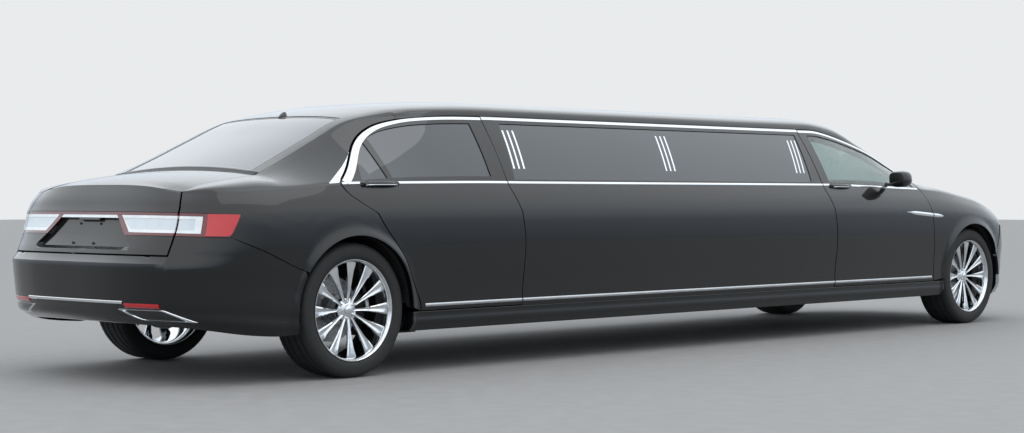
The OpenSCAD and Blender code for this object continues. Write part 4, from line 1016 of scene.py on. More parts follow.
def rear_lamps():
    """The lamp on each quarter: smoked body, bright red tip, white loop round a clear window."""
    end = TAIL_SEAM + 1
    us = [LAMP_U - 0.4, -860, -905, -920, -940, -956, -968, -980, -1000, end]
    tip, out0, out1 = us[3], us[4], us[6]
    lo, hi, low0, low1, high0, high1 = LAMP_LO, LAMP_HI, *LOOP
    body = strip_between([(u, lo) for u in us], [(u, hi) for u in us], 3, 8, 5, WALL)
    glow = strip_between([(-792, 1.79), (-800, 1.765), (-822, 1.752), (tip, lo + 0.004)],
                         [(-752, hi), (-764, hi + 0.004), (-790, hi + 0.004), (tip, hi)], 6, 8, -1.0, 4)
    parts = [(body, 0), (glow, 1),
             (slab(tip, end, hi - 0.03, hi, 14, 2, 0, 8), 0),
             (slab(tip, end, lo, lo + 0.028, 14, 2, 0, 8), 0),
             (slab(tip, out0, lo + 0.028, hi - 0.03, 2, 6, 0, 8), 0),
             (slab(out1, end, low1, high0, 12, 5, 2.5, 8), 3),
             (slab(out0, end, low0, low1, 12, 2, 0.4, 8), 2),
             (slab(out0, end, high0, high1, 12, 2, 0.4, 8), 2),
             (slab(out0, out1, low1, high0, 2, 5, 0.4, 8), 2)]
    piece("tail_lamp_clusters", both_ways(joined(*parts)), [DARK_RED, RED_LENS, LAMP_WHITE, LAMP_CLEAR],
          "body", "red_lens", ["tail_lamps"])


def lid_lamps():
    """The lamps' inner parts on the trunk lid, joined by a thin bar over the number plate's place."""
    q_end = corner(LID_SEAM)
    lo, hi, low0, low1, high0, high1 = LAMP_LO, LAMP_HI, *LOOP
    rim, frame_in = 0.045, 0.066

    def bar(off, v0, v1, n, rows, t0=0.0, t1=8.0, stop=None):
        """From the slanting end moved by off, or from the middle, out to the lid's edge or to stop."""
        low, high = ([(0 if off is None else lamp_end(v) + off, v),
                      (lamp_end(v) + stop if stop else q_end, v)] for v in (v0, v1))
        return strip_between(low, high, n, rows, t0, t1, lid_at)

    parts = [(bar(0, lo, hi, 16, 8, 5, 9.5), 0), (bar(None, hi - 0.03, hi, 40, 2, 0, 21.4), 0),
             (bar(0, lo, low0, 16, 2), 0), (bar(0, low0, high1, 3, 8, stop=rim), 0),
             (bar(frame_in, low1, high0, 16, 6, 2.5), 2),
             (bar(None, high0, high1, 40, 2, 0.4, 21.4), 1), (bar(rim, low0, low1, 16, 2, 0.4), 1),
             (bar(rim, low1, high0, 3, 6, 0.4, stop=frame_in), 1)]
    piece("lid_lamp_clusters", both_ways(joined(*parts)), [DARK_RED, LAMP_WHITE, LAMP_CLEAR], "trunk_lid",
          "red_lens", ["lid_lamp_bar"])


def plate_place():
    """Fixing holes, the slit under the bare number plate place, and its small lamps."""
    parts = []
    for y in (-90, 90):
        for z, r in ((800, 7), (700, 9)):
            at = skin(-1121.9, v_of(-1120, z))
            bm = turned([(0, 0), (r, 0), (r, 3), (r * 0.55, 3.6), (r * 0.5, 1.5), (0, 1.5)], 16, closed=False)
            bm.transform(Matrix.Translation((at.x + 22.5 * MM, y * MM, z * MM))
                         @ Matrix.Rotation(-math.pi / 2, 4, "Y"))
            parts.append((bm, 0))
    parts += [(slab(-0.43, 0.43, 1.57, 1.579, 24, 1, -0.4, 4, lid_at), 0),
              (slab(-0.1, 0.1, 1.9, 1.92, 8, 1, 6, 21, lid_at), 0)]
    piece("plate_place_fittings", joined(*parts), [GLOSS], "trunk_lid", "black_plastic")


def front_lamps():
    """Clear lens, dark housing, five projector cups and a white strip along the top."""
    us = [3480 + 0.4, 3560, 3640, 3720, NOSE_SEAM, nose_col(0.43)]
    lo, hi = HEAD_V0 + 0.002, HEAD_V1 - 0.011
    low, high = fore([(u, lo) for u in us]), fore([(u, hi) for u in us])
    parts = [(strip_between(low, high, 6, 10, 0, 4), 0), (strip_between(low, high, 6, 4, 26, 30), 1)]
    for k in range(5):
        u = mix(3560, nose_col(0.5), (k + 0.5) / 5) + STRETCH
        at, way = skin(u, 2.36), outward(u, 2.36)
        cup = turned([(0, -16), (20, -12), (31, 0), (34, 0), (34, -2), (22, -14), (0, -18)], 24, closed=False)
        side = way.cross(Vector((0, 0, 1))).normalized()
        m = Matrix((side, side.cross(way), way)).transposed().to_4x4()
        m.translation = at - way * 12 * MM
        cup.transform(m)
        parts.append((cup, 2))
    strip = strip_between(fore([(u, hi - 0.1) for u in us]), fore([(u, hi - 0.04) for u in us]), 6, 1, 5, 9)
    piece("headlamp_units", both_ways(joined(*parts, (strip, 3))), [LENS, GLOSS, CHROME, LAMP_WHITE],
          "body", "clear_lens", ["headlamps"])


def nose_point(q, v, t):
    """A point over the nose at share q of its width, sunk by t millimetres."""
    p = sunk((nose_col(abs(q)) + STRETCH, v), t)
    return Vector((p.x, math.copysign(p.y, q) if q else 0.0, p.z))


def nose_patch(q0, q1, v0, v1, t0, t1, n=10, rows=2):
    """A closed block over the nose."""
    qs = [mix(q0, q1, k / n) for k in range(n + 1)]
    vs = [mix(v0, v1, k / rows) for k in range(rows + 1)]
    return shell(*([[nose_point(q, v, t) for v in vs] for q in qs] for t in (t0, t1)))


def front_grille():
    """Back plate, a bright frame, thirteen slats and dark uprights behind them."""
    half, lo, hi, edge_q, edge_v, slats = 0.398, 0.602, HEAD_V1, 0.03, 0.07, 13
    in_q, in_lo, in_hi = half - edge_q, lo + edge_v, hi - edge_v
    parts = [(nose_patch(-half, half, lo, hi, 27, 30, 24, 24), 1),
             (nose_patch(-half, half, lo, in_lo, 12.2, 27, 24), 0),
             (nose_patch(-half, half, in_hi, hi, 12.2, 27, 24), 0),
             (nose_patch(-half, -in_q, in_lo, in_hi, 12.2, 27, 2, 16), 0),
             (nose_patch(in_q, half, in_lo, in_hi, 12.2, 27, 2, 16), 0)]
    for k in range(slats):
        v = mix(in_lo, in_hi, (k + 0.5) / slats)
        parts.append((nose_patch(-in_q, in_q, v - 0.032, v + 0.032, 16, 26, 24), 0))
    for k in range(1, 12):
        q = mix(-in_q, in_q, k / 12)
        parts.append((nose_patch(q - 0.004, q + 0.004, in_lo, in_hi, 19, 25, 1, 16), 1))
    piece("front_grille_slats", joined(*parts), [CHROME, GLOSS], "body", "bright_trim", ["grille"])


def front_intake():
    """Low opening in the front bumper: a dark panel, three blades and a satin strip below."""
    half, lo, hi, blades = 0.74, 0.36, 0.54, 3
    parts = [(nose_patch(-half, half, lo, hi, -2.5, 3, 32, 4), 1)]
    for k in range(blades):
        v = mix(lo, hi, (k + 0.75) / (blades + 0.5))
        parts.append((nose_patch(-half + 0.02, half - 0.02, v - 0.009, v + 0.009, -5, -2, 32), 1))
    parts.append((nose_patch(-half, half, lo - 0.035, lo - 0.005, -6, 3, 32), 0))
    piece("front_intake_strip", joined(*parts), [SATIN, GLOSS], "body", "bright_trim")


# ---------- bright trim ----------


def ribbon(path, widths, proud):
    """A strip along a path on the skin, with one width or one for each point."""
    if isinstance(widths, (int, float)):
        widths = [widths] * len(path)
    return sweep(frames(path), widths, proud, 3.0)


def belt_path(u0, u1, n, v=3.0):
    return [(mix(u0, u1, k / n), v) for k in range(n + 1)]


def side_strip(name, v, u0, u1, steps, width, proud, material=None):
    """A strip at one height along rear door, centre side and front door, cut at the shut lines."""
    a, b, clear = line(PILLAR, v), line(PILLAR, v) + STRETCH, GAP / 2 + 1
    for part, body, start, stop, n in (("_rear_{}", "rear_door_{}", u0, a - clear, steps[0]),
                                       ("_centre", "body", a + clear, b - clear, steps[1]),
                                       ("_front_{}", "front_door_{}", b + clear, u1, steps[2])):
        bright(name + part, ribbon(belt_path(start, stop, n, v), width, proud), body, material)


CORNER_FOOT = [(-134, 3.012), (-100, 3.012), (-72, 3.014), (-64, 3.03)]
CORNER_TOP = [(-134, 3.03), (-100, 3.11), (-72, 3.172), (-64, 3.19), (-40, 3.24), (-18, 3.285), (5, 3.325),
              (50, 3.41), (90, 3.485), (127, 3.56)]


def window_trim():
    """The bright surround: along the sill line, and round over the windows under the roof."""
    side_strip("belt_trim", 3, -53, line(FRONT, 3) + STRETCH - 34, (26, 30, 26), 15, 3.2)
    foot = CORNER_FOOT + [(u, line(TOP, u + 12) + 0.024) for u, _ in CORNER_TOP[4:]]
    bright("corner_trim", strip_between(foot, CORNER_TOP, 3, 3, -3.2, 1))
    a, clear, height = line(PILLAR, 3.95), GAP / 2 + 1, 3.2
    us = [mix(-40, a - clear, k / 60) for k in range(61)]
    widths = [mix(44, 20, smooth(k / 34)) for k in range(61)]
    bright("roof_trim_rear_{}", sweep(trimmed([(u, line(TOP, u)) for u in us], widths), widths, height),
           "rear_door_{}")
    u0, u1 = a + clear, STRETCH + a - clear
    bright("roof_trim_centre", ribbon(belt_path(u0, u1, 40, 3.952), 20, height))
    u0, u1 = u1 + GAP + 2, STRETCH + line(FRONT, 3.95) - 12
    path = [(mix(u0, u1, k / 50), 3.93 if k > 40 else 3.945) for k in range(51)]
    bright("roof_trim_front_{}", ribbon(path, [20 - 8 * smooth((k - 30) / 20) for k in range(51)], height),
           "front_door_{}")


def trimmed(path, widths):
    """Stations along the upper edge of the rear door, moved inwards by half the strip's width."""
    return [(p - a * ((w / 2 + 1.5) * MM), a, n) for (p, a, n), w in zip(frames(path), widths)]


def lower_trim():
    """The satin moulding along the foot of the doors and the centre sides."""
    v, short = 1.03, 26
    side_strip("foot_moulding", v, line(REAR, v) + short, line(FRONT, v) + STRETCH - short, (20, 30, 24), 17,
               4, SATIN)


def blade():
    """The bright blade across the front door's edge and the fender."""
    start, stop, edge = 5159, 5623, line(FRONT, 1.85) + STRETCH
    for name, body, u0, u1 in (("blade_door_{}", "front_door_{}", start, edge - 3),
                               ("blade_fender_both", "body", edge + GAP + 3, stop)):
        path, widths = [], []
        for k in range(25):
            U = mix(u0, u1, k / 24)
            path.append((U, v_of(U - STRETCH, mix(828, 796, clamp((U - start) / (stop - start))))))
            taper = 1 if U < 5560 else mix(1, 0.55, (U - 5560) / 63)
            widths.append(mix(5, 25, smooth((U - start) / 120)) * taper)
        bright(name, ribbon(path, widths, 5), body)


BAR_SETS = ((1309, 1318, 1275, 1097), (2673, 1315, 2628, 1096), (4056, 1317, 3988, 1095))


def window_bars():
    """Three sets of three slanted bright bars on each long window."""
    parts, pitch = [], 41
    for x0, z0, x1, z1 in BAR_SETS:
        for k in range(3):
            path = [(mix(x0, x1, m / 8) + pitch * k, mix(z0, z1, m / 8)) for m in range(9)]
            rows = [(p - n * 5 * MM, a, n) for p, a, n in frames([(x, v_at(x, z)) for x, z in path])]
            parts.append(sweep(rows, [12] * 9, 1.6, 1.5))
    bright("window_bars", joined(*parts))


def v_at(U, z):
    """v on the glass at height z millimetres."""
    a, b = 3.0, 4.0
    for _ in range(24):
        m = (a + b) / 2
        a, b = (m, b) if skin(U, m).z < z * MM else (a, m)
    return (a + b) / 2


def rear_trim():
    """Bumper strip, reflectors and the framed exhaust outlets."""
    level = [(tail_col(k / 30 * 0.46), 1.02) for k in range(31)]
    short = [(tail_col(mix(0.47, 0.7, k / 14)), 0.955) for k in range(15)]
    strip = both_ways(sweep(frames(level[::-1]), [15] * 31, 5))
    reflectors = both_ways(sweep(frames(short[::-1]), [22] * 15, 3))
    piece("bumper_strip", joined((strip, 0), (reflectors, 1)), [CHROME, RED_LENS], "body", "bright_trim")
    rim = outlet(((0.0, 4), (0.0, -3), (0.06, -6), (0.15, -6), (0.22, -1), (0.22, 4)))
    mouth = outlet(((0.2, -1.2), (0.5, -0.9), (0.96, -0.8), (0.96, 2), (0.2, 2)))
    piece("exhaust_outlets", both_ways(joined((rim, 0), (mouth, 1))), [CHROME, GLOSS], "body",
          "exhaust_steel")


OUTLET = ((0.402, 0.78), (0.72, 0.8), (0.875, 0.30), (0.56, 0.26))


def outlet_loop(off, t):
    """The outlet's rounded outline on the bumper, moved inwards by off and sunk by t millimetres."""
    cq, cv = (sum(c[k] for c in OUTLET) / 4 for k in (0, 1))
    out = []
    for (q0, v0), (q1, v1) in zip(OUTLET, OUTLET[1:] + OUTLET[:1]):
        for k in range(8):
            s = mix(0.06, 0.94, k / 7)
            q, v = mix(mix(q0, q1, s), cq, off), mix(mix(v0, v1, s), cv, off)
            out.append(sunk((tail_col(q), v), t))
    return out


def outlet(steps):
    """A ring lofted through outlines; each step is how far inwards and how deep."""
    loops = [outlet_loop(off, t) for off, t in steps]
    return loft(loops + loops[:1], caps=False)


# ---------- handles, mirrors, aerial ----------


def handle(U0, U1, v, body, name):
    """A body-coloured pull hung under the sill line, with a bright insert on top of its back."""
    um, half = (U0 + U1) / 2, (U1 - U0) / 2
    at, n = skin(um, v), outward(um, v)
    t = (skin(um + 5, v) - skin(um - 5, v)).normalized()
    up = n.cross(t)
    thin = 1e-4
    rows, inlay = [], []
    for k in range(17):
        s = mix(-1, 1, k / 16)
        depth = 34 * (1 - abs(s) ** 3.2) + 2
        c = at + t * (s * half * MM) + n * ((depth * 0.62 - 8) * MM) - up * (abs(s) ** 2 * 2 * MM)
        size = math.sqrt(max(1 - abs(s) ** 4, 0.02))
        rows.append(ring(c, n * (11 * size * MM + thin), up * (11 * size * MM + thin), 2.6, 16))
        inlay.append(ring(c + up * (9 * size * MM), n * (8 * size * MM + thin), up * (3.5 * MM), 3, 12))
    parts = [(loft(rows), 0), (loft(inlay[2:-2]), 1)]
    for s in (-0.66, 0.66):
        base = at + t * (s * half * MM) - n * 6 * MM - up * 9 * MM
        foot = [ring(base, t * 48 * MM, up * 15 * MM, 2.2, 20),
                ring(base + n * 9 * MM, t * 44 * MM, up * 13 * MM, 2.2, 20),
                ring(base + n * 24 * MM + up * 7 * MM, t * 24 * MM, up * 9 * MM, 2.4, 20)]
        parts.append((loft(foot), 0))
    two(name, joined(*parts), [PAINT, CHROME], body, "body_paint")


def mirrors():
    """Painted housing, silvered glass and a short arm from the corner of the window."""
    p = skin(STRETCH + 1950, 3.03)
    c = Vector((p.x, p.y + 0.129, p.z + 0.052))

    def oval(x, s, drift=0):
        middle = c + Vector((x * MM, 0.006 * (drift / 60), 0.001 * drift / 10))
        return ring(middle, Vector((0, 67 * MM * s, 0)), Vector((0, -6 * MM * s, 56 * MM * s)), 3.0, 32)

    shape = ((-60, 0.78), (-57, 0.9), (-46, 0.98), (-20, 1.0), (10, 0.97), (32, 0.86), (48, 0.68),
             (57, 0.42), (60, 0.1))
    housing = loft([oval(x, s, x) for x, s in shape])
    glass = loft([oval(-59.9, s) for s in (0.7, 0.02)])
    arm = [ring(p + Vector((x, y, z)) * MM, Vector((w * MM, 0, 0)), Vector((0, 0, h * MM)), 2.6, 16)
           for x, y, z, w, h in ((5, 1, 15, 25, 15), (4, 20, 14, 22, 13), (2, 45, 14, 22, 12),
                                 (0, 72, 18, 24, 14))]
    two("door_mirror_{}", joined((housing, 0), (glass, 1), (loft(arm), 2)), [PAINT, MIRROR, GLOSS],
        "front_door_{}", "body_paint", "mirror_{}")


def aerial():
    """The low fin on the roof behind the rear window's upper edge."""
    rows = []
    for k in range(13):
        s = k / 12
        foot = skin(mix(306, 246, s), 5)
        h = 24 * math.sin(math.pi * s ** 0.6) ** 0.8 * 0.9 + 1
        w = 15 * math.sin(math.pi * (0.06 + 0.88 * s)) + 1
        rows.append(ring(Vector((foot.x, 0, foot.z - 2 * MM)), Vector((0, w * MM, 0)), Vector((0, 0, h * MM)),
                         2.2, 16))
    piece("roof_aerial", loft(rows), [GLOSS], "body", "black_plastic")


# ---------- wheels ----------


def arch_edges():
    """Felt that closes the gap from each wheel liner out to the panel, so no daylight shows inside."""
    inner, outer, y0, y1 = 398.5, 401.5, 886, 932
    for axle, x in (("front", BASE_WB + STRETCH), ("rear", 0)):
        bm = bmesh.new()
        verts = [bm.verts.new(beside_axle(x, r, y))
                 for r, y in ((inner, y0), (outer, y0), (outer, y1), (inner, y1))]
        section = [bm.edges.new(pair) for pair in zip(verts, verts[1:] + verts[:1])]
        bmesh.ops.spin(bm, geom=verts + section, cent=beside_axle(x, 0, 0), axis=(0, 1, 0), dvec=(0, 0, 0),
                       angle=-math.pi, steps=48, use_merge=False, use_duplicate=False)
        bmesh.ops.holes_fill(bm, edges=bm.edges[:], sides=4)
        bmesh.ops.recalc_face_normals(bm, faces=bm.faces[:])
        two(axle + "_arch_edge_{}", bm, [CARPET], "body", "black_plastic")


def beside_axle(x, r, y):
    """A point level with an axle, r millimetres ahead of it and y out from the middle."""
    return Vector((ux(x + r) * MM, y * MM, TYRE_R * MM))


def at_wheel(x, side):
    m = Matrix(((1, 0, 0), (0, 0, side), (0, -side, 0))).to_4x4()
    m.translation = Vector((x * MM, side * WHEEL_Y * MM, TYRE_R * MM))
    return m


def spoke():
    """One flared spoke: narrow and raised at the hub, broad and creased at the rim."""
    stations = ((34, 8, 66, 12), (60, 8, 72, 12), (95, 9, 78, 13), (140, 13, 85, 14), (185, 20, 91, 14),
                (215, 26, 95, 13), (238, 30, 97, 12), (249, 31, 97, 11))
    rows = []
    for r, half, z, ridge in stations:
        section = ((-half, z - 16), (-half, z - 5), (-half * 0.72, z - 1.5), (-half * 0.12, z - ridge * 0.42),
                   (half * 0.12, z - ridge * 0.42), (half * 0.72, z - 1.5), (half, z - 5), (half, z - 16),
                   (half * 0.4, z - 26), (-half * 0.4, z - 26))
        rows.append([Vector((r, y, h)) * MM for y, h in section])
    return loft(rows)


def wheel_bm():
    """Rim, twelve spokes, hub with its plain cap and five nuts, and the brake disc behind."""
    w = TYRE_W / 2 - 14
    parts = [(turned([(254, -w + 0.4), (264, -w + 0.4), (264, -w - 7), (259, -w - 7), (250, -w + 6),
                      (246, -60), (240, 0), (243, 60), (248, w - 14), (252, w - 4), (258, w + 4),
                      (261, w + 7), (264, w + 7), (264, w - 0.4), (254, w - 0.4), (252, 60),
                      (252, -60)], 96), 0)]
    for k in range(12):
        one = spoke()
        one.transform(Matrix.Rotation(2 * math.pi * k / 12, 4, "Z"))
        parts.append((one, 0))
    parts.append((turned([(0, 77), (22, 77), (26, 75), (28, 70), (31, 69), (50, 64), (62, 58), (66, 50),
                          (66, 34), (40, 30), (0, 30)], 60, closed=False), 0))
    parts.append((turned([(0, 81), (16, 80.4), (21, 78), (22.5, 76), (0, 76)], 40, closed=False), 0))
    nuts, circle = 5, 46
    for k in range(nuts):
        nut = bmesh.new()
        bmesh.ops.create_cone(nut, cap_ends=True, segments=6, radius1=9.5 * MM, radius2=8.5 * MM,
                              depth=22 * MM)
        bmesh.ops.bevel(nut, geom=nut.edges[:], offset=1.2 * MM, segments=2, profile=0.5, affect="EDGES",
                        material=-1)
        a = 2 * math.pi * (k + 0.5) / nuts
        nut.transform(Matrix.Translation((circle * MM * math.cos(a), circle * MM * math.sin(a), 66 * MM)))
        parts.append((nut, 0))
    z = -92
    parts.append((turned([(24.4, z), (172, z), (172, z + 10), (150, z + 10), (150, z + 18), (172, z + 18),
                          (172, z + 28), (80, z + 28), (76, z + 34), (74, z + 74), (24.4, z + 74)], 72), 1))
    parts.append((turned([(24.4, -30), (50, -30), (52, -26), (54, 30), (24.4, 30)], 48), 1))
    return joined(*parts)


def tyre_bm():
    """Rounded flanks and a crowned tread with four grooves."""
    w, groove = TYRE_W / 2, 7
    flank = ((254.4, 15), (265, 15), (272, 6), (284, 1), (300, 0), (318, 1), (330, 4), (340, 12), (345, 20),
             (348, 28))
    tread = []
    for y in (-72, -28, 28, 72):
        top = 350 - (abs(y) / 95) ** 2 * 2
        tread += [(top, y - 5), (top - groove, y - 4), (top - groove, y + 4), (top, y + 5)]
    outer = [(r, -w + d) for r, d in flank] + tread + [(r, w - d) for r, d in flank[::-1]]
    inner = [(254.4, w - 24), (284, w - 14), (328, w - 20), (334, 0), (328, -w + 20), (284, -w + 14),
             (254.4, -w + 24)]
    return joined((turned(outer + inner, 120), 0), (tread_blocks(), 0))


def tread_blocks():
    """Raised shoulder blocks round both edges of the tread."""
    out, count = [], 72
    for side in (-1, 1):
        for k in range(count):
            block = bmesh.new()
            bmesh.ops.create_cube(block, size=1.0)
            for v in block.verts:
                v.co = Vector((v.co.x * 4.5 + 346, v.co.y * 21, v.co.z * 24 + side * 97))
                if v.co.z * side > 100:
                    v.co.x -= 6.0
                v.co *= MM
            block.transform(Matrix.Rotation(2 * math.pi * k / count, 4, "Z"))
            out.append(block)
    return joined(*out)


def wheels():
    kinds = (("wheel", wheel_bm, [WHEEL, DISC], "bright_wheel"), ("tyre", tyre_bm, [RUBBER], "tyre_rubber"))
    for end, x in (("front", fx(BASE_WB)), ("rear", X_REAR)):
        for side, sign in (("left", 1), ("right", -1)):
            for kind, make, materials, slot in kinds:
                bm = make()
                bm.transform(at_wheel(x, sign))
                bmesh.ops.recalc_face_normals(bm, faces=bm.faces[:])
                node = "%s_%s_%s" % (end, kind, side)
                piece(node + "_made", bm, materials, "%s_wheel_%s" % (end, side), slot, [node])


# ---------- cabin ----------


def fx(u):
    return X_REAR + u + STRETCH


def ux(u):
    return X_REAR + u


DECK = 298.3


def cushion(x, y, z, lx, ly, lz, channels, along="Y"):
    """A crowned pad whose sides pull in between its corners, with sewn channels across its face."""
    bm = bmesh.new()
    bmesh.ops.create_cube(bm, size=1.0)
    bmesh.ops.subdivide_edges(bm, edges=bm.edges[:], cuts=15, use_grid_fill=True)
    for v in bm.verts:
        a, b, c = v.co.x * 2, v.co.y * 2, v.co.z * 2
        pull = 1 - 0.035 * (1 - abs(a) ** 4) if abs(b) > 0.99 else 1
        pull_x = 1 - 0.035 * (1 - abs(b) ** 4) if abs(a) > 0.99 else 1
        rounding = 1 - 0.06 * (abs(a * b) ** 6 + abs(b * c) ** 6 + abs(a * c) ** 6)
        crown = 1 - 0.22 * max(a * a, b * b) ** 3
        t = ((b if along == "Y" else a) + 1) / 2 * channels
        seam = c > 0.99 and 0 < round(t) < channels
        sewn = 0.09 * max(0, 1 - abs(t - round(t)) / 0.14) ** 2 if seam else 0.0
        h = c * (crown if c > 0 else 1) - sewn
        v.co = Vector((a * pull_x * rounding * lx / 2, b * pull * rounding * ly / 2, h * lz / 2)) * MM
    bm.transform(Matrix.Translation(Vector((x, y, z)) * MM))
    bmesh.ops.recalc_face_normals(bm, faces=bm.faces[:])
    return bm


def back_rest(x, y, z, size, channels, axis, degrees, along="Y"):
    """A cushion stood up and put in its place."""
    bm = cushion(0, 0, 0, *size, channels, along)
    bm.transform(Matrix.Rotation(math.radians(degrees), 4, axis))
    bm.transform(Matrix.Translation(Vector((x, y, z)) * MM))
    return bm


def soft(name, pads, node):
    """Leather pads as one padded piece with one subdivision."""
    ob = piece(name, joined(*pads), [HIDE], "body", "seat_leather", [node], angle=60)
    mod = ob.modifiers.new("soften", "SUBSURF")
    mod.levels = mod.render_levels = 1


def seats():
    """Front seats, the rear bench and the lounge along the left side."""
    pads, bases = [], []
    for y in (380, -380):
        pads += [cushion(fx(1560), y, DECK + 196, 488, 488, 122, 5),
                 back_rest(fx(1160), y, DECK + 515, (560, 476, 106), 5, "Y", -108)]
        bases.append(box(fx(1560), y, DECK + 65, 392, 392, 128, 18))
    soft("front_seat_pads", pads, "front_seats")
    piece("front_seat_bases", joined(*bases), [PLASTIC], "body", "black_plastic")
    bench = [cushion(ux(730), y, DECK + 130, 456, 372, 256, 4) for y in (-372, 0, 372)]
    bench += [back_rest(ux(348.6), y, DECK + 481, (548, 356, 112), 4, "Y", -110) for y in (-360, 0, 360)]
    soft("rear_bench_pads", bench, "rear_bench")
    x0, x1, n = ux(1500), ux(CUT + STRETCH - 420), 5
    step = (x1 - x0) / n
    lounge = []
    for k in range(n):
        x = x0 + step * (k + 0.5)
        lounge += [cushion(x, 515, DECK + 125, step - 6, 364, 246, 4, "X"),
                   back_rest(x, 750, DECK + 285, (step - 6, 540, 94), 4, "X", 90, "X")]
    soft("side_lounge_pads", lounge, "side_lounge")


def box(x, y, z, lx, ly, lz, radius):
    bm = bmesh.new()
    bmesh.ops.create_cube(bm, size=1.0)
    bm.transform(Matrix.Diagonal((lx * MM, ly * MM, lz * MM, 1)))
    bmesh.ops.bevel(bm, geom=bm.edges[:], offset=radius * MM, segments=3, profile=0.5, affect="EDGES",
                    material=-1)
    bm.transform(Matrix.Translation(Vector((x, y, z)) * MM))
    return bm


def boot_floor_sides():
    """Carpeted boards that carry the boot floor out past the rear wheel liners."""
    x0, x1, y0, y1, z = ux(-640), ux(-392), 548, 882, 357
    two("boot_floor_side_{}", box((x0 + x1) / 2, (y0 + y1) / 2, z, x1 - x0, y1 - y0, 6, 1), [CARPET], "body",
        "black_plastic")


def cabinet():
    """The bar along the right side: a rounded carcase, door fronts, a dark top and bright pulls."""
    x0, x1, y0, y1 = ux(1900), ux(CUT + STRETCH - 900), -799, -441
    xm, lx, doors_wide = (x0 + x1) / 2, x1 - x0, 4
    parts = [(box(xm, (y0 + y1) / 2 - 6, DECK + 245, lx - 2, y1 - y0 - 14, 486, 8), 0),
             (box(xm, (y0 + y1) / 2, DECK + 504, lx - 1, y1 - y0, 30, 10), 1)]
    w = lx / doors_wide
    for k in range(doors_wide):
        x = x0 + w * (k + 0.5)
        parts.append((box(x, y1 - 8, DECK + 240, w - 12, 14, 430, 4), 0))
        parts.append((box(x, y1 - 0.9, DECK + 430, 120, 8, 12, 3), 2))
    piece("bar_cabinet_fronts", joined(*parts), [WOOD, GLOSS, CHROME], "body", "cabinet_wood",
          ["bar_cabinet"])


def dash():
    """Instrument panel: a crowned top, vents, a plain screen and a centre console."""
    section = ((2162, 722), (2161, 800), (2166, 850), (2185, 882), (2230, 906), (2300, 924), (2380, 929),
               (2439, 926), (2440, 722))
    rows = []
    for k in range(33):
        y = mix(778, -778, k / 32)
        s = 1 - 0.04 * (abs(y) / 778) ** 4
        rows.append([Vector((fx(u), y, mix(722, z, s))) * MM for u, z in section])
    parts = [(loft(rows), 0), (box(fx(1930), 0, DECK + 150, 452, 212, 296, 24), 0),
             (box(fx(2300), 0, DECK + 205, 276, 212, 410, 20), 0)]
    for y in (-640, -250, 250, 640):
        parts.append((box(fx(2166), y, 838, 10, 150, 52, 4), 1))
        for k in range(4):
            parts.append((box(fx(2162.5), y, 822 + 11 * k, 5, 140, 3, 1), 2))
    parts.append((box(fx(2164), 0, 800, 8, 250, 120, 3), 1))
    piece("dashboard_made", joined(*parts), [PLASTIC, GLOSS, SATIN], "body", "black_plastic", ["dashboard"])


def steering():
    """Leather rim, three spokes, and a plain hub pad on its shaft."""
    rim = []
    for k in range(49):
        a = 2 * math.pi * k / 48
        c = Vector((180 * math.cos(a), 180 * math.sin(a), 0))
        rim.append(ring(c * MM, c.normalized() * 14.6 * MM, Vector((0, 0, 14.6 * MM)), 2, 14))
    parts = [(loft(rim, caps=False), 0)]
    for a in (0, 120, 240):
        one = loft([ring(Vector((s, 0, z)) * MM, Vector((0, half * MM, 0)), Vector((0, 0, t * MM)), 3, 14)
                    for s, half, z, t in ((36, 24, 8, 12), (80, 17, 6, 9), (130, 14, 2, 8), (172, 15, 0, 8))])
        one.transform(Matrix.Rotation(math.radians(a), 4, "Z"))
        parts.append((one, 1))
    for profile, steps in (([(0, 19.5), (30, 19), (46, 16), (54, 8), (55, -6), (50, -18), (0, -19)], 40),
                           ([(0, -123), (17.5, -123), (17.5, -18), (0, -18)], 24)):
        parts.append((turned(profile, steps, closed=False), 1))
    whole = joined(*parts)
    bmesh.ops.remove_doubles(whole, verts=whole.verts[:], dist=1e-6)
    m = Matrix.Rotation(math.radians(-65), 4, "Y")
    m.translation = Vector((fx(2040), 380, 860)) * MM
    whole.transform(m)
    bmesh.ops.recalc_face_normals(whole, faces=whole.faces[:])
    piece("steering_wheel_made", whole, [HIDE, PLASTIC], "steering_wheel", "black_plastic",
          ["steering_wheel"])


# ---------- floor and light ----------


def stage():
    """The studio floor."""
    bm = bmesh.new()
    bmesh.ops.create_grid(bm, x_segments=4, y_segments=4, size=60)
    me = bpy.data.meshes.new("studio_floor")
    bm.to_mesh(me)
    bm.free()
    me.materials.append(FLOOR)
    ob = bpy.data.objects.new("studio_floor", me)
    bpy.context.scene.collection.objects.link(ob)


def lamp(name, at, target, size, power):
    """A rectangular soft lamp aimed at a point."""
    data = bpy.data.lights.new(name, "AREA")
    data.shape, data.size, data.size_y, data.energy = "RECTANGLE", size[0], size[1], power
    ob = bpy.data.objects.new(name, data)
    bpy.context.scene.collection.objects.link(ob)
    ob.location = at
    ob.rotation_euler = (Vector(target) - Vector(at)).to_track_quat("-Z", "Y").to_euler()


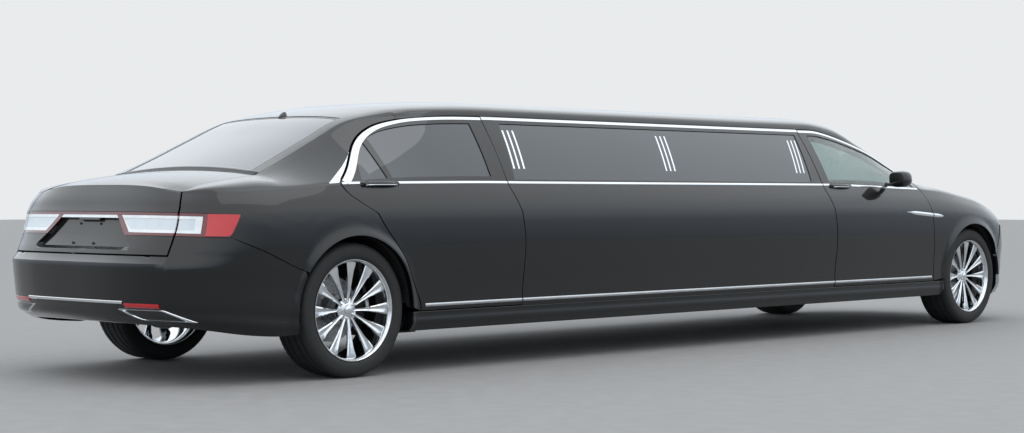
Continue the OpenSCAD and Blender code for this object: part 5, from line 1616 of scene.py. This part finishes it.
def light():
    """An overcast sky: pale overhead, darker at the horizon, and a near-white background."""
    scene = bpy.context.scene
    scene.view_settings.view_transform = "Standard"
    world = bpy.data.worlds.new("sky")
    scene.world = world
    world.use_nodes = True
    tree = world.node_tree
    tree.nodes.clear()
    out = add(tree, "ShaderNodeOutputWorld")
    way = add(tree, "ShaderNodeTexCoord").outputs["Generated"]
    split = add(tree, "ShaderNodeSeparateXYZ", {"Vector": way})
    ramp = add(tree, "ShaderNodeValToRGB", {"Fac": split.outputs["Z"]})
    stops = ramp.color_ramp.elements
    for stop, (at, code) in zip((stops[0], stops[1]), ((0.0, "#8a9199"), (1.0, "#f4f9ff"))):
        stop.position, stop.color = at, linear(code)
    for at, code in ((0.05, "#a2abb4"), (0.16, "#d3dce5"), (0.4, "#f6fbff")):
        stops.new(at).color = linear(code)
    sky = add(tree, "ShaderNodeBackground", {"Color": ramp.outputs["Color"], "Strength": 1.48})
    pale = add(tree, "ShaderNodeBackground", {"Color": linear("#e9ebed"), "Strength": 1.0})
    seen = add(tree, "ShaderNodeLightPath").outputs["Is Camera Ray"]
    both = add(tree, "ShaderNodeMixShader", {0: seen, 1: sky.outputs[0], 2: pale.outputs[0]})
    tree.links.new(both.outputs[0], out.inputs["Surface"])
    lamp("overhead", (-1.0, -3.5, 9.0), (0.3, 0, 0.8), (10, 7), 150)


# ---------- the car ----------

quarters()
centre_sides()
roof()
screen("windshield_glass", 14, 22, CLEAR, "windshield")
screen("rear_window_glass", 0, 6, REAR_GLASS, "rear_window")
fenders()
rear_bumper()
front_bumper()
sills()
doors()
lid()
hood()
rear_lamps()
lid_lamps()
plate_place()
front_lamps()
front_grille()
front_intake()
window_trim()
lower_trim()
blade()
window_bars()
rear_trim()
handle(60, 357, 2.93, "rear_door_{}", "rear_handle_{}")
handle(4293, 4555, 2.93, "front_door_{}", "front_handle_{}")
mirrors()
aerial()
wheels()
arch_edges()
boot_floor_sides()
seats()
cabinet()
dash()
steering()
refinish(PLASTIC, "door_frames", "cowls", "lid_frames", "partition")
refinish(STEEL, "wheel_liners", "subframes", "fuel_tank")
refinish(CARPET, "floor_pan")
refinish(CAST, "engine_block", "knuckle_left", "knuckle_right", "steering_rack")
refinish(PIPE, "exhaust_system")
stage()
light()
